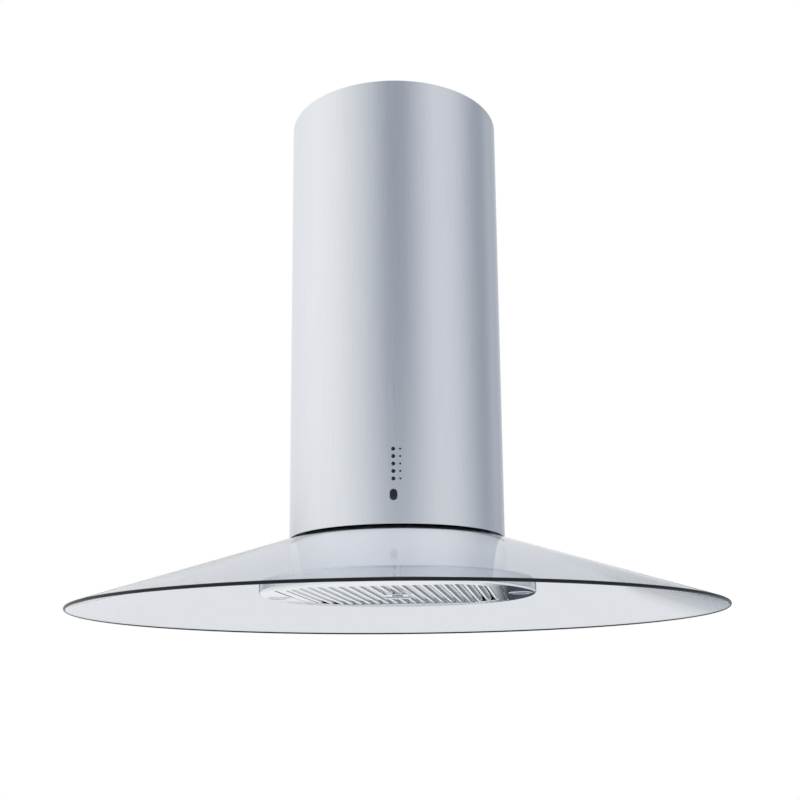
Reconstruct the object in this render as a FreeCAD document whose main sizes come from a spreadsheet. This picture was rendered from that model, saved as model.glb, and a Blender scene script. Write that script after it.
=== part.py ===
# Island chimney range hood: a round steel chimney over a conical glass canopy, with a shallow
# round tray under it that holds the baffle grease filter and the lamps.
# Millimetres, +Z up. The origin is on the ceiling plane, on the chimney's axis. The front is -Y.

import FreeCAD
import Part
import Sketcher
import math
import os
import re

SIZES = [
    # whole hood
    ("ceiling_to_rim", 730, "ceiling down to the lowest edge of the glass"),
    # chimney
    ("chimney_diameter", 305, "outside of the chimney tube"),
    ("chimney_wall", 1.2, "steel sheet of the chimney"),
    ("shadow_gap", 3, "open gap between the chimney's lower edge and the glass"),
    # glass canopy
    ("canopy_diameter", 900, "outside of the glass cone"),
    ("canopy_slope", 18.5, "fall of the glass below the horizontal, degrees"),
    ("glass_thickness", 4, "toughened glass"),
    ("glass_edge_round", 1.2, "polished round on the rim's two edges"),
    ("glass_hole_inset", 32.5, "edge of the cone's top hole inside the chimney's outside"),
    # gaskets above and below the glass
    ("gasket_thickness", 2, "rubber sheet, measured upright"),
    ("gasket_hole_margin", 1.5, "gaskets stop this far outside the glass hole"),
    ("lower_gasket_inset", 2.5, "lower gasket stops this far inside the body"),
    ("upper_gasket_width", 13, "width of the upper gasket"),
    # clamp ring
    ("clamp_overhang", 14, "cast clamp ring past the edge of the glass hole"),
    ("clamp_least_thickness", 2.5, "thickness of the ring at its hole"),
    ("clamp_flange", 2, "thickness of the ring's outer flange"),
    ("lip_height", 7, "lip that centres the chimney"),
    ("lip_wall", 1.5, "thickness of that lip"),
    ("lip_clearance", 0.4, "between the lip and the chimney's bore"),
    # screws
    ("big_screw", 5, "diameter of the frame and clamp screws"),
    ("big_head", 9, "diameter of their heads"),
    ("big_head_height", 3, "height of their heads"),
    ("small_screw", 4, "diameter of the sheet screws"),
    ("small_head", 7.4, "diameter of their heads"),
    ("small_head_height", 2, "height of their heads"),
    ("screw_clearance", 0.12, "radial room round a screw"),
    ("head_clearance", 0.4, "radial room round a screw head"),
    ("screw_past", 4, "how far a screw runs past its last sheet"),
    ("clamp_screw_count", 6, "clamp screws"),
    ("clamp_turn", 15, "first clamp screw from the right side, degrees"),
    # hood body under the glass
    ("body_wall", 1.2, "steel sheet of the body"),
    ("body_seat_overhang", 2, "body's conical seat past the clamp ring"),
    ("body_flange", 17, "width of the body's foot flange"),
    # filter tray
    ("tray_diameter", 388, "outside of the tray"),
    ("tray_above_rim", 28, "underside of the tray above the glass rim's lowest edge"),
    ("tray_height", 18, "height of the tray's wall"),
    ("tray_sheet", 1.2, "steel sheet of the tray"),
    ("tray_border", 11, "least width of the tray's underside, at the filter's corners"),
    ("tray_end", 43, "width of the tray's plain underside beyond each side of the filter"),
    ("tray_top_inset", 28.5, "edge of the air opening in the tray's top inside the body"),
    ("tray_edge_round", 3.5, "rolled lower edge"),
    ("tray_screw_inset", 9.5, "screws up into the body, inside its outside"),
    ("tray_screw_count", 6, "tray screws"),
    # grease filter
    ("filter_clearance", 1.2, "room between the filter and its opening"),
    ("filter_turn", 7, "square filter turned from straight front to back, degrees"),
    ("filter_height", 12, "height of the filter frame"),
    ("filter_sheet", 1, "steel sheet of the filter frame"),
    ("filter_lip", 7, "width of the frame's two lips"),
    ("baffle_count", 20, "channels in the lower row"),
    ("baffle_slot", 4.55, "slot between two channels"),
    ("baffle_flare", 1, "how far each leg of a channel leans out"),
    ("baffle_height", 4.4, "height of a channel"),
    ("baffle_sheet", 0.8, "steel sheet of a channel"),
    ("baffle_end_gap", 0.2, "between the channels and the frame"),
    # filter hub, knob and the bar they hang from
    ("hub_diameter", 18, "bush through the middle of the filter"),
    ("hub_washer", 34, "washer under the channels"),
    ("hub_washer_thickness", 1.2, "thickness of that washer"),
    ("hub_clearance", 0.3, "between the bush and the channels"),
    ("stud_diameter", 8, "threaded stud of the filter knob"),
    ("stud_clearance", 0.25, "radial room round the stud"),
    ("stud_past", 4, "how far the stud runs past the bar's boss"),
    ("knob_length", 40, "length of the knob's wing"),
    ("knob_width", 9, "width of the knob's wing"),
    ("knob_height", 2.6, "height of the knob's wing"),
    ("knob_base", 16, "diameter of the knob's base"),
    ("knob_base_height", 1.2, "height of the knob's base"),
    ("knob_gap", 0.3, "between the knob and the washer"),
    ("bar_width", 30, "width of the cross bar"),
    ("bar_thickness", 3, "thickness of the cross bar"),
    ("bar_overlap", 12.5, "cross bar past the edge of the tray's air opening"),
    ("bar_screw_margin", 6, "cross bar screws from the edge of that opening"),
    ("boss_diameter", 18, "boss on the cross bar"),
    ("boss_height", 10, "height of that boss"),
    # lamps
    ("lamp_count", 2, "lamps, one in each plain end of the tray"),
    ("lamp_hole", 28, "hole in the tray for a lamp"),
    ("lamp_flange", 33, "outside of a lamp's bezel"),
    ("lamp_flange_thickness", 1.2, "thickness of the bezel under the tray"),
    ("lamp_neck_clearance", 0.3, "between the bezel's neck and its hole"),
    ("lamp_neck_wall", 1.2, "wall of the bezel's neck"),
    ("lamp_neck_height", 6, "neck above the tray's underside"),
    ("lens_clearance", 0.05, "between the lens and the bezel"),
    ("lens_thickness", 2, "lamp lens"),
    ("lens_recess", 0.5, "lens above the bezel's face"),
    ("lamp_body_height", 8, "lamp housing above the neck"),
    # buttons and the control unit behind the chimney's front
    ("button_diameter", 5, "cap of a button"),
    ("button_pitch", 9.9, "button to button"),
    ("button_count", 5, "buttons"),
    ("button_height", 59, "lowest button above the chimney's lower edge"),
    ("button_clearance", 0.15, "radial room round a cap"),
    ("button_proud", 1, "cap in front of the chimney"),
    ("button_chamfer", 0.4, "chamfer round a cap"),
    ("button_travel", 1.2, "travel of a button"),
    ("flange_overlap", 1.3, "button and window flanges past their holes"),
    ("flange_thickness", 1.4, "thickness of those flanges"),
    ("flange_gap", 1.6, "between those flanges and the chimney's bore"),
    ("light_offset", 9, "indicator lights, to the right of the buttons"),
    ("light_diameter", 2.6, "light pipe of an indicator"),
    ("light_clearance", 0.12, "radial room round a light pipe"),
    ("light_sink", 0.4, "light pipe behind the chimney's front"),
    ("window_width", 9.8, "remote control window"),
    ("window_straight", 5, "straight part of the window's long sides"),
    ("window_height", 38, "middle of the window above the chimney's lower edge"),
    ("window_proud", 0.9, "window in front of the chimney"),
    ("window_stem", 5, "stem between the window and the board"),
    ("mat_rest_gap", 0.2, "between a pressed button and the mat"),
    ("mat_nub", 0.8, "height of the mat's nubs"),
    ("mat_thickness", 1.2, "rubber mat"),
    ("mat_width", 24, "width of the mat"),
    ("mat_margin", 7, "mat past the first and last button"),
    ("board_thickness", 1.6, "circuit board"),
    ("board_gap", 0.4, "between the board and its housing"),
    ("housing_width", 40, "outside of the control housing"),
    ("housing_foot", 27, "lowest side above the chimney's lower edge"),
    ("housing_tall", 86, "height of the control housing"),
    ("housing_deep", 22, "depth of the control housing"),
    ("housing_wall", 1.6, "wall of the control housing"),
    ("housing_inset", 3.8, "housing's open edge behind the chimney's bore"),
    ("pillar_diameter", 6, "pillars under the board"),
    ("pillar_margin", 6, "pillars, in from the housing's sides"),
    ("ear_reach", 9, "housing ears past its sides"),
    ("ear_height", 12, "height of an ear"),
    ("ear_thickness", 2, "thickness of an ear"),
    ("nut_diameter", 7, "nuts behind the ears"),
    ("nut_thickness", 3, "thickness of a nut"),
    # frame from the ceiling to the hood
    ("duct_room", 10, "ceiling bracket's hole round the duct"),
    ("bracket_thickness", 2, "steel sheet of the ceiling bracket"),
    ("bracket_edge_gap", 2.3, "ceiling bracket inside the chimney's bore"),
    ("anchor_inset", 34, "ceiling anchors inside the bracket's edge"),
    ("anchor_hole", 8.4, "hole for a ceiling anchor"),
    ("anchor_count", 4, "ceiling anchors"),
    ("tab_first", 15, "first chimney tab behind the right side, degrees"),
    ("tab_spread", 150, "from the first tab to the last, degrees"),
    ("tab_count", 3, "tabs that the chimney is screwed to"),
    ("tab_width", 24, "width of a tab"),
    ("tab_height", 26, "height of a tab"),
    ("tab_screw_depth", 15, "chimney screws below the ceiling"),
    ("ring_inset", 9.5, "lower frame ring inside the chimney's outside"),
    ("ring_overhang", 11, "lower frame ring past the clamp ring's hole"),
    ("ring_thickness", 2.5, "steel sheet of the lower frame ring"),
    ("upright_margin", 12.7, "outer corner of an upright inside the chimney's bore"),
    ("upright_leg", 22, "leg of an upright"),
    ("upright_sheet", 1.5, "steel sheet of an upright"),
    ("lug_width", 16, "lugs that the uprights are screwed to"),
    ("lug_height", 28, "height of a lug"),
    ("lug_screw", 16, "frame screws from the plate that carries the lug"),
    # fan
    ("seal_height", 6, "rubber ring under the fan casing"),
    ("seal_width", 20, "width of that ring"),
    ("casing_inset", 44.5, "fan casing inside the chimney's outside"),
    ("casing_sheet", 1.5, "steel sheet of the casing"),
    ("casing_flange", 13, "width of the casing's flanges"),
    ("casing_screw_count", 4, "casing screws"),
    ("lower_casing_height", 80, "lower half of the casing"),
    ("upper_casing_height", 105, "upper half of the casing"),
    ("inlet_inset", 4, "inlet throat inside the impeller's eye"),
    ("inlet_height", 12, "height of the inlet throat"),
    ("outlet_inset", 3, "hole in the casing's top inside the collar's outside"),
    ("carrier_thickness", 2, "motor carrier clamped between the casing halves"),
    ("carrier_margin", 6, "middle of the motor carrier past the motor"),
    ("carrier_hole", 28, "hole for the shaft and bearing"),
    ("arm_width", 22, "arms of the motor carrier"),
    ("arm_count", 3, "arms of the motor carrier"),
    ("motor_diameter", 92, "motor"),
    ("motor_height", 75, "motor"),
    ("motor_bore", 12, "bore between the motor's bearings"),
    ("motor_screw_inset", 16, "motor screws inside the motor's outside"),
    ("bearing_diameter", 22, "outside of a motor bearing"),
    ("bearing_height", 7, "height of a motor bearing"),
    ("bearing_fit", 0.05, "radial room inside and outside a bearing"),
    ("shaft_diameter", 8, "motor shaft"),
    ("impeller_room", 18, "impeller inside the casing's outside"),
    ("impeller_ring", 26, "width of the impeller's lower ring"),
    ("impeller_sheet", 1.5, "sheet of the impeller"),
    ("impeller_gap", 6, "impeller above the casing's floor"),
    ("blade_count", 12, "impeller blades"),
    ("blade_height", 50, "height of a blade"),
    ("blade_inset", 2, "inner end of a blade outside the impeller's eye"),
    ("blade_margin", 2, "outer end of a blade inside the impeller's edge"),
    ("blade_sweep", 32, "how far a blade leans back, degrees"),
    ("blade_sheet", 2, "thickness of a blade"),
    ("impeller_boss", 24, "boss on the shaft"),
    ("impeller_boss_height", 20, "height of that boss"),
    # outlet collar and its non-return flaps
    ("collar_inset", 33, "duct collar inside the casing's outside"),
    ("collar_wall", 1.5, "wall of the collar"),
    ("collar_height", 60, "height of the collar"),
    ("collar_flange", 17, "width of the collar's flange"),
    ("collar_flange_thickness", 2, "thickness of that flange"),
    ("collar_screw_margin", 10, "collar screws outside the collar's wall"),
    ("ledge_width", 4, "ledge that the shut flaps lie over"),
    ("ledge_height", 2, "thickness of the ledge"),
    ("ledge_rise", 9, "underside of the ledge above the collar's foot"),
    ("flap_thickness", 1, "sheet of a flap"),
    ("flap_clearance", 2, "between a flap and the collar"),
    ("flap_rest_gap", 0.3, "between a shut flap and the ledge"),
    ("flap_edge_gap", 4.6, "straight edge of a flap from the pin's axis"),
    ("pin_diameter", 4, "flap pin"),
    ("pin_end_gap", 0.5, "pin short of the collar's outside"),
    ("pin_fit", 0.05, "radial room round the pin"),
    ("knuckle_diameter", 8, "knuckles on the pin"),
    ("knuckle_length", 15, "length of a knuckle"),
    ("knuckle_far_share", 0.6, "inner end of a flap's far knuckle, as a share of the collar's bore"),
    ("knuckle_near_share", 0.19, "inner end of a flap's near knuckle, as a share of the collar's bore"),
    # electrics on the strap between the rear uprights
    ("strap_depth", 215, "lower edge of the strap below the ceiling"),
    ("strap_height", 25, "height of the strap"),
    ("strap_thickness", 2, "steel sheet of the strap"),
    ("strap_end_gap", 0.3, "between the strap and the uprights' side legs"),
    ("box_width_share", 0.694, "width of the terminal box, as a share of the uprights' reach"),
    ("box_deep", 30, "terminal box"),
    ("box_tall", 70, "terminal box"),
    ("box_wall", 2, "wall of the terminal box"),
    ("box_drop", 20, "terminal box below the strap's lower edge"),
    ("box_side_share", 0.367, "middle of the terminal box left of the axis, as a share of that reach"),
    ("gland_diameter", 18, "cable gland on the box"),
    ("gland_bore", 8, "way through the gland"),
    ("gland_height", 14, "height of the gland"),
    ("capacitor_diameter", 30, "run capacitor"),
    ("capacitor_height", 60, "run capacitor"),
    ("capacitor_side", 38, "run capacitor, to the right of the axis"),
    ("capacitor_drop", 16, "run capacitor below the strap's lower edge"),
    ("clip_wall", 1, "band round the capacitor"),
    ("clip_height", 14, "height of that band"),
    ("clip_gap", 0.15, "between the band, the capacitor and the strap"),
]

WORD = re.compile(r"[a-z][a-z_]*")
XY, XZ, YZ = "XY_Plane", "XZ_Plane", "YZ_Plane"
NODES = []
names = {}

doc = FreeCAD.newDocument("range_hood")
sheet = doc.addObject("Spreadsheet::Sheet", "dims")
for row, (alias, value, meaning) in enumerate(SIZES, 1):
    sheet.set(f"A{row}", meaning)
    sheet.set(f"B{row}", str(value))
    sheet.setAlias(f"B{row}", alias)
    names[alias] = f"dims.{alias}"
doc.recompute()


# Expressions are written with the plain names above and turned into the sheet's cells.
def bind(expression):
    return WORD.sub(lambda word: names.get(word.group(), word.group()), expression)


def derive(name, expression):
    names[name] = f"({bind(expression)})"


def number(expression):
    found = sheet.evalExpression(bind(expression))
    return float(getattr(found, "Value", found))


# Heights of the two faces of the glass at a radius, above the rim's lowest edge.
def glass_under(radius):
    return f"(rim_foot - ({radius})) * tan(canopy_slope)"


def glass_over(radius):
    return f"({glass_under(radius)} + glass_upright)"


# Bodies, sketches and features.
def new_body(label, height="0", several=False):
    body = doc.addObject("PartDesign::Body", label)
    body.Label = label
    body.AllowCompound = several
    body.setExpression("Placement.Base.z", bind(height))
    NODES.append(body)
    return body


def origin_part(body, role):
    return next(part for part in body.Origin.OriginFeatures if part.Role == role)


def new_sketch(body, plane, offset="0", turn=None):
    sketch = body.newObject("Sketcher::SketchObject", "sketch")
    sketch.AttachmentSupport = (origin_part(body, plane), [""])
    sketch.MapMode = "FlatFace"
    if turn:
        axis = FreeCAD.Vector(0, 0, 1) if plane == XY else FreeCAD.Vector(0, 1, 0)
        sketch.AttachmentOffset = FreeCAD.Placement(FreeCAD.Vector(),
                                                    FreeCAD.Rotation(axis, number(turn)))
        sketch.setExpression("AttachmentOffset.Rotation.Angle", bind(turn))
    sketch.setExpression("AttachmentOffset.Base.z", bind(offset))
    return sketch


def fix(sketch, kind, expression, *ends):
    place = sketch.addConstraint(Sketcher.Constraint(kind, *ends, number(expression)))
    sketch.setExpression(f"Constraints[{place}]", bind(expression))


def fix_point(sketch, item, end, point):
    fix(sketch, "DistanceX", point[0], -1, 1, item, end)
    fix(sketch, "DistanceY", point[1], -1, 1, item, end)


def vector(point):
    return FreeCAD.Vector(number(point[0]), number(point[1]), 0)


def add_loop(sketch, points):
    first = sketch.GeometryCount
    count = len(points)
    for step, point in enumerate(points):
        onward = points[(step + 1) % count]
        sketch.addGeometry(Part.LineSegment(vector(point), vector(onward)), False)
    for step, point in enumerate(points):
        after = first + (step + 1) % count
        sketch.addConstraint(Sketcher.Constraint("Coincident", first + step, 2, after, 1))
        fix_point(sketch, first + step, 1, point)
    return sketch


def add_box(sketch, low, high):
    return add_loop(sketch, [low, (high[0], low[1]), high, (low[0], high[1])])


def add_circle(sketch, centre, diameter):
    middle = vector(centre)
    upright = FreeCAD.Vector(0, 0, 1)
    item = sketch.addGeometry(Part.Circle(middle, upright, number(f"({diameter}) / 2")), False)
    fix_point(sketch, item, 3, centre)
    fix(sketch, "Diameter", diameter, item)
    return sketch


# A round-ended slot along the sketch's upright direction.
def add_slot(sketch, centre, width, straight):
    x, y = centre
    ends = {}
    for side, sign in (("right", "+"), ("left", "-")):
        for level, rise in (("low", "-"), ("high", "+")):
            ends[side, level] = (f"{x} {sign} ({width}) / 2", f"{y} {rise} ({straight}) / 2")
    right = sketch.addGeometry(Part.LineSegment(vector(ends["right", "low"]),
                                                vector(ends["right", "high"])))
    left = sketch.addGeometry(Part.LineSegment(vector(ends["left", "high"]), vector(ends["left", "low"])))
    fix_point(sketch, right, 1, ends["right", "low"])
    fix_point(sketch, right, 2, ends["right", "high"])
    fix_point(sketch, left, 1, ends["left", "high"])
    fix_point(sketch, left, 2, ends["left", "low"])
    for rise, start, turn, joins in (("+", 0, 180, (right, left)), ("-", 180, 360, (left, right))):
        middle = (x, f"{y} {rise} ({straight}) / 2")
        circle = Part.Circle(vector(middle), FreeCAD.Vector(0, 0, 1), number(f"({width}) / 2"))
        arc = sketch.addGeometry(Part.ArcOfCircle(circle, math.radians(start), math.radians(turn)))
        sketch.addConstraint(Sketcher.Constraint("Coincident", arc, 1, joins[0], 2))
        sketch.addConstraint(Sketcher.Constraint("Coincident", arc, 2, joins[1], 1))
        fix(sketch, "DistanceY", middle[1], -1, 1, arc, 3)
    return sketch


# A square, given by half its side, with its corners cut to a circle round the same centre.
def add_panel(sketch, side, corner):
    reach = f"sqrt(({corner}) ^ 2 - ({side}) ^ 2)"
    circle = Part.Circle(FreeCAD.Vector(), FreeCAD.Vector(0, 0, 1), number(corner))
    swing = math.atan2(number(reach), number(side))
    far, back = f"-({side})", f"-{reach}"
    lines = []
    for start, end in (((side, back), (side, reach)), ((reach, side), (back, side)),
                       ((far, reach), (far, back)), ((back, far), (reach, far))):
        line = sketch.addGeometry(Part.LineSegment(vector(start), vector(end)))
        fix_point(sketch, line, 1, start)
        fix_point(sketch, line, 2, end)
        lines.append(line)
    for quarter, line in enumerate(lines):
        turn = quarter * math.pi / 2
        arc = sketch.addGeometry(Part.ArcOfCircle(circle, turn + swing, turn + math.pi / 2 - swing))
        sketch.addConstraint(Sketcher.Constraint("Coincident", arc, 1, line, 2))
        onward = lines[(quarter + 1) % len(lines)]
        sketch.addConstraint(Sketcher.Constraint("Coincident", arc, 2, onward, 1))
        fix(sketch, "DistanceY", "0", -1, 1, arc, 3)
    return sketch


def new_feature(body, kind, **settings):
    feature = body.newObject(f"PartDesign::{kind}", kind.lower())
    for key, setting in settings.items():
        setattr(feature, key, setting)
    body.Tip = feature
    return feature


def pad(body, sketch, length, back=False):
    feature = new_feature(body, "Pad", Profile=sketch, Reversed=back)
    feature.setExpression("Length", bind(length))
    return feature


def cut(body, sketch, length, back=False):
    feature = new_feature(body, "Pocket", Profile=sketch, Reversed=back)
    feature.setExpression("Length", bind(length))
    return feature


def cut_through(body, sketch, back=False, both=False):
    settings = {"Profile": sketch, "Type": "ThroughAll", "Reversed": back}
    if both:
        settings["Midplane"] = True
    return new_feature(body, "Pocket", **settings)


def spin(body, points):
    sketch = add_loop(new_sketch(body, XZ), points)
    return new_feature(body, "Revolution", Profile=sketch, ReferenceAxis=(sketch, ["V_Axis"]), Angle=360)


def around(body, features, count, spread=None):
    axis = (origin_part(body, "Z_Axis"), [""])
    feature = new_feature(body, "PolarPattern", Originals=features, Axis=axis, Angle=360)
    if spread:
        feature.setExpression("Angle", bind(spread))
    feature.setExpression("Occurrences", bind(count))
    return feature


def along(body, features, role, length, count):
    direction = (origin_part(body, role), [""])
    feature = new_feature(body, "LinearPattern", Originals=features, Direction=direction)
    feature.setExpression("Length", bind(length))
    feature.setExpression("Occurrences", bind(count))
    return feature


def mirrored(body, features, role):
    return new_feature(body, "Mirrored", Originals=features, MirrorPlane=(origin_part(body, role), [""]))


# Rounds or chamfers the round edges of a given radius.
def ease(body, feature, kind, size, radii):
    doc.recompute()
    wanted = [number(radius) for radius in radii]
    edges = []
    for place, edge in enumerate(feature.Shape.Edges, 1):
        if isinstance(edge.Curve, Part.Circle):
            if any(math.isclose(edge.Curve.Radius, radius, rel_tol=1e-6) for radius in wanted):
                edges.append(f"Edge{place}")
    eased = new_feature(body, kind, Base=(feature, edges))
    eased.setExpression("Radius" if kind == "Fillet" else "Size", bind(size))
    return eased


# A disc or a ring from one height to another.
def ring_pad(body, height, length, outside, hole=None, centre=("0", "0"), back=False, turn=None):
    sketch = add_circle(new_sketch(body, XY, height, turn), centre, outside)
    if hole:
        add_circle(sketch, centre, hole)
    return pad(body, sketch, length, back)


# Upright screws on a circle: the head on one side of a face and the shank on the other.
def screw_ring(body, face, circle, count, kind, shank, head_up=True, turn=None):
    centre = (f"({circle}) / 2", "0")
    head = ring_pad(body, face, f"{kind}_head_height", f"{kind}_head", None, centre, not head_up, turn)
    stem = ring_pad(body, face, shank, f"{kind}_screw", None, centre, head_up, turn)
    around(body, [head, stem], count)


def hole_ring(body, height, depth, circle, count, diameter, turn=None):
    sketch = add_circle(new_sketch(body, XY, height, turn), (f"({circle}) / 2", "0"), diameter)
    around(body, [cut(body, sketch, depth)], count)


# What follows the chimney's diameter, from the outside inwards, and then the tray's.
derive("chimney_radius", "chimney_diameter / 2")
derive("chimney_bore", "chimney_radius - chimney_wall")
derive("glass_hole_diameter", "chimney_diameter - 2 * glass_hole_inset")
derive("clamp_hole_diameter", "glass_hole_diameter - 2 * clamp_overhang")
derive("clamp_screw_circle", "(glass_hole_diameter + clamp_hole_diameter) / 2")
derive("body_seat_hole", "clamp_hole_diameter - 2 * body_seat_overhang")
derive("tray_top_opening", "chimney_diameter - 2 * tray_top_inset")
derive("tray_screw_circle", "chimney_diameter - 2 * tray_screw_inset")
derive("bar_reach", "tray_top_opening / 2 + bar_overlap")
derive("bar_screw_reach", "tray_top_opening / 2 + bar_screw_margin")
derive("ring_diameter", "chimney_diameter - 2 * ring_inset")
derive("ring_hole", "clamp_hole_diameter - 2 * ring_overhang")
derive("upright_corner", "(chimney_bore - upright_margin) / sqrt(2)")
derive("box_width", "upright_corner * box_width_share")
derive("box_side", "upright_corner * box_side_share")
derive("casing_diameter", "chimney_diameter - 2 * casing_inset")
derive("casing_screw_circle", "casing_diameter + casing_flange")
derive("impeller_diameter", "casing_diameter - 2 * impeller_room")
derive("impeller_eye", "impeller_diameter - 2 * impeller_ring")
derive("inlet_diameter", "impeller_eye - 2 * inlet_inset")
derive("blade_root", "impeller_eye / 2 + blade_inset")
derive("carrier_hub", "motor_diameter + 2 * carrier_margin")
derive("motor_screw_circle", "motor_diameter - 2 * motor_screw_inset")
derive("collar_diameter", "casing_diameter - 2 * collar_inset")
derive("collar_radius", "collar_diameter / 2")
derive("collar_bore", "collar_radius - collar_wall")
derive("collar_screw_circle", "collar_diameter + 2 * collar_screw_margin")
derive("knuckle_far", "collar_bore * knuckle_far_share")
derive("knuckle_near", "collar_bore * knuckle_near_share")
derive("outlet_hole", "collar_diameter - 2 * outlet_inset")
derive("bracket_hole", "collar_diameter + 2 * duct_room")
derive("bracket_radius", "chimney_bore - bracket_edge_gap")
derive("anchor_circle", "2 * (bracket_radius - anchor_inset)")
derive("tray_radius", "tray_diameter / 2")
derive("opening_side", "tray_radius - tray_end")
derive("opening_corner", "tray_radius - tray_border")
derive("lamp_reach", "tray_radius - tray_end / 2")
derive("filter_side", "opening_side - filter_clearance")
derive("filter_corner", "opening_corner - filter_clearance")
derive("baffle_pitch", "2 * (filter_side - filter_sheet) / (baffle_count + 1)")
derive("baffle_width", "baffle_pitch - baffle_slot")

derive("rim_foot_z", "-ceiling_to_rim")
derive("canopy_radius", "canopy_diameter / 2")
derive("glass_upright", "glass_thickness / cos(canopy_slope)")
derive("rim_foot", "canopy_radius - glass_thickness * sin(canopy_slope)")
derive("glass_hole", "glass_hole_diameter / 2")
derive("glass_hole_top", "glass_hole + glass_thickness * sin(canopy_slope)")
derive("chimney_foot", f"rim_foot_z + {glass_over('chimney_radius')} + shadow_gap")
derive("chimney_length", "-chimney_foot")
derive("gasket_inner", "glass_hole + gasket_hole_margin")
derive("clamp_hole", "clamp_hole_diameter / 2")
derive("clamp_edge", "gasket_inner + upper_gasket_width")
derive("clamp_top", f"{glass_over('clamp_hole')} + gasket_thickness + clamp_least_thickness")
derive("lip_radius", "chimney_bore - lip_clearance")
derive("frame_foot", "rim_foot_z + clamp_top")
derive("fan_foot", "frame_foot + ring_thickness")
derive("tray_foot", "rim_foot_z + tray_above_rim")
derive("upright_length", "-fan_foot - bracket_thickness")
derive("lug_face", "upright_corner - upright_sheet")
derive("lug_middle", "upright_corner - (upright_leg + upright_sheet) / 2")
derive("tab_face", "sqrt(bracket_radius ^ 2 - tab_width ^ 2 / 4)")
derive("big_hole", "big_screw + 2 * screw_clearance")
derive("small_hole", "small_screw + 2 * screw_clearance")


# Frame: the ceiling bracket, four uprights and the ring that they carry.
def frame_plate(label, height, outside, hole, thickness, lugs_down):
    body = new_body(label, height)
    ring_pad(body, "0", thickness, outside, hole)
    lugs = new_sketch(body, XY, "0" if lugs_down else thickness)
    for side in ("-", ""):
        for face in ("-", ""):
            low = (f"{side}(lug_middle) - lug_width / 2", f"{face}(lug_face)")
            high = (f"{side}(lug_middle) + lug_width / 2", f"{face}(lug_face - {thickness})")
            add_box(lugs, low, high)
    pad(body, lugs, "lug_height", lugs_down)
    holes = new_sketch(body, XZ)
    for side in ("-", ""):
        add_circle(holes,
                   (f"{side}(lug_middle)", "-lug_screw" if lugs_down else f"{thickness} + lug_screw"),
                   "big_hole")
    cut_through(body, holes, both=True)
    return body


bracket = frame_plate("ceiling_bracket", "-bracket_thickness", "2 * bracket_radius", "bracket_hole",
                      "bracket_thickness", True)
tab = add_box(new_sketch(bracket, XY, "0", "tab_first"),
              ("tab_face - bracket_thickness", "-tab_width / 2"),
              ("tab_face", "tab_width / 2"))
around(bracket, [pad(bracket, tab, "tab_height", True)], "tab_count", "tab_spread")
tab_hole = add_circle(new_sketch(bracket, YZ, "0", "tab_first"),
                      ("0", "bracket_thickness - tab_screw_depth"), "small_hole")
around(bracket, [cut_through(bracket, tab_hole, True)], "tab_count", "tab_spread")
anchor = add_circle(new_sketch(bracket, XY, "bracket_thickness"), ("anchor_circle / 2", "0"),
                    "anchor_hole")
around(bracket, [cut(bracket, anchor, "bracket_thickness")], "anchor_count")

lower_ring = frame_plate("lower_frame_ring", "frame_foot", "ring_diameter", "ring_hole", "ring_thickness",
                         False)
hole_ring(lower_ring, "ring_thickness", "ring_thickness", "clamp_screw_circle", "clamp_screw_count",
          "big_hole", "clamp_turn")
hole_ring(lower_ring, "ring_thickness", "ring_thickness", "casing_screw_circle", "casing_screw_count",
          "small_hole")

derive("strap_middle", "-fan_foot - strap_depth + strap_height / 2")
for end, face in (("front", "-"), ("rear", "")):
    for side, across in (("left", "-"), ("right", "")):
        upright = new_body(f"upright_{end}_{side}", "fan_foot")
        corners = [("upright_corner", "upright_corner"),
                   ("upright_corner - upright_leg", "upright_corner"),
                   ("upright_corner - upright_leg", "lug_face"),
                   ("lug_face", "lug_face"),
                   ("lug_face", "upright_corner - upright_leg"),
                   ("upright_corner", "upright_corner - upright_leg")]
        corners = [(f"{across}({x})", f"{face}({y})") for x, y in corners]
        pad(upright, add_loop(new_sketch(upright, XY), corners), "upright_length")
        holes = new_sketch(upright, XZ)
        levels = ["lug_screw", "upright_length - lug_screw"]
        if end == "rear":
            levels.append("strap_middle")
        for level in levels:
            add_circle(holes, (f"{across}(lug_middle)", level), "big_hole")
        cut_through(upright, holes, both=True)

frame_screws = new_body("frame_screws", "fan_foot", several=True)
pieces = []
for diameter, length, back in (("big_head", "big_head_height", False),
                               ("big_screw", "upright_sheet + ring_thickness + screw_past", True)):
    sketch = new_sketch(frame_screws, XZ, "upright_corner")
    for across in ("-", ""):
        for level in ("lug_screw", "upright_length - lug_screw"):
            add_circle(sketch, (f"{across}(lug_middle)", level), diameter)
    pieces.append(pad(frame_screws, sketch, length, back))
mirrored(frame_screws, pieces, XZ)
for diameter, length, back in (("big_head", "big_head_height", True),
                               ("big_screw", "upright_sheet + strap_thickness + screw_past", False)):
    sketch = new_sketch(frame_screws, XZ, "-upright_corner")
    for across in ("-", ""):
        add_circle(sketch, (f"{across}(lug_middle)", "strap_middle"), diameter)
    pad(frame_screws, sketch, length, back)


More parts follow.
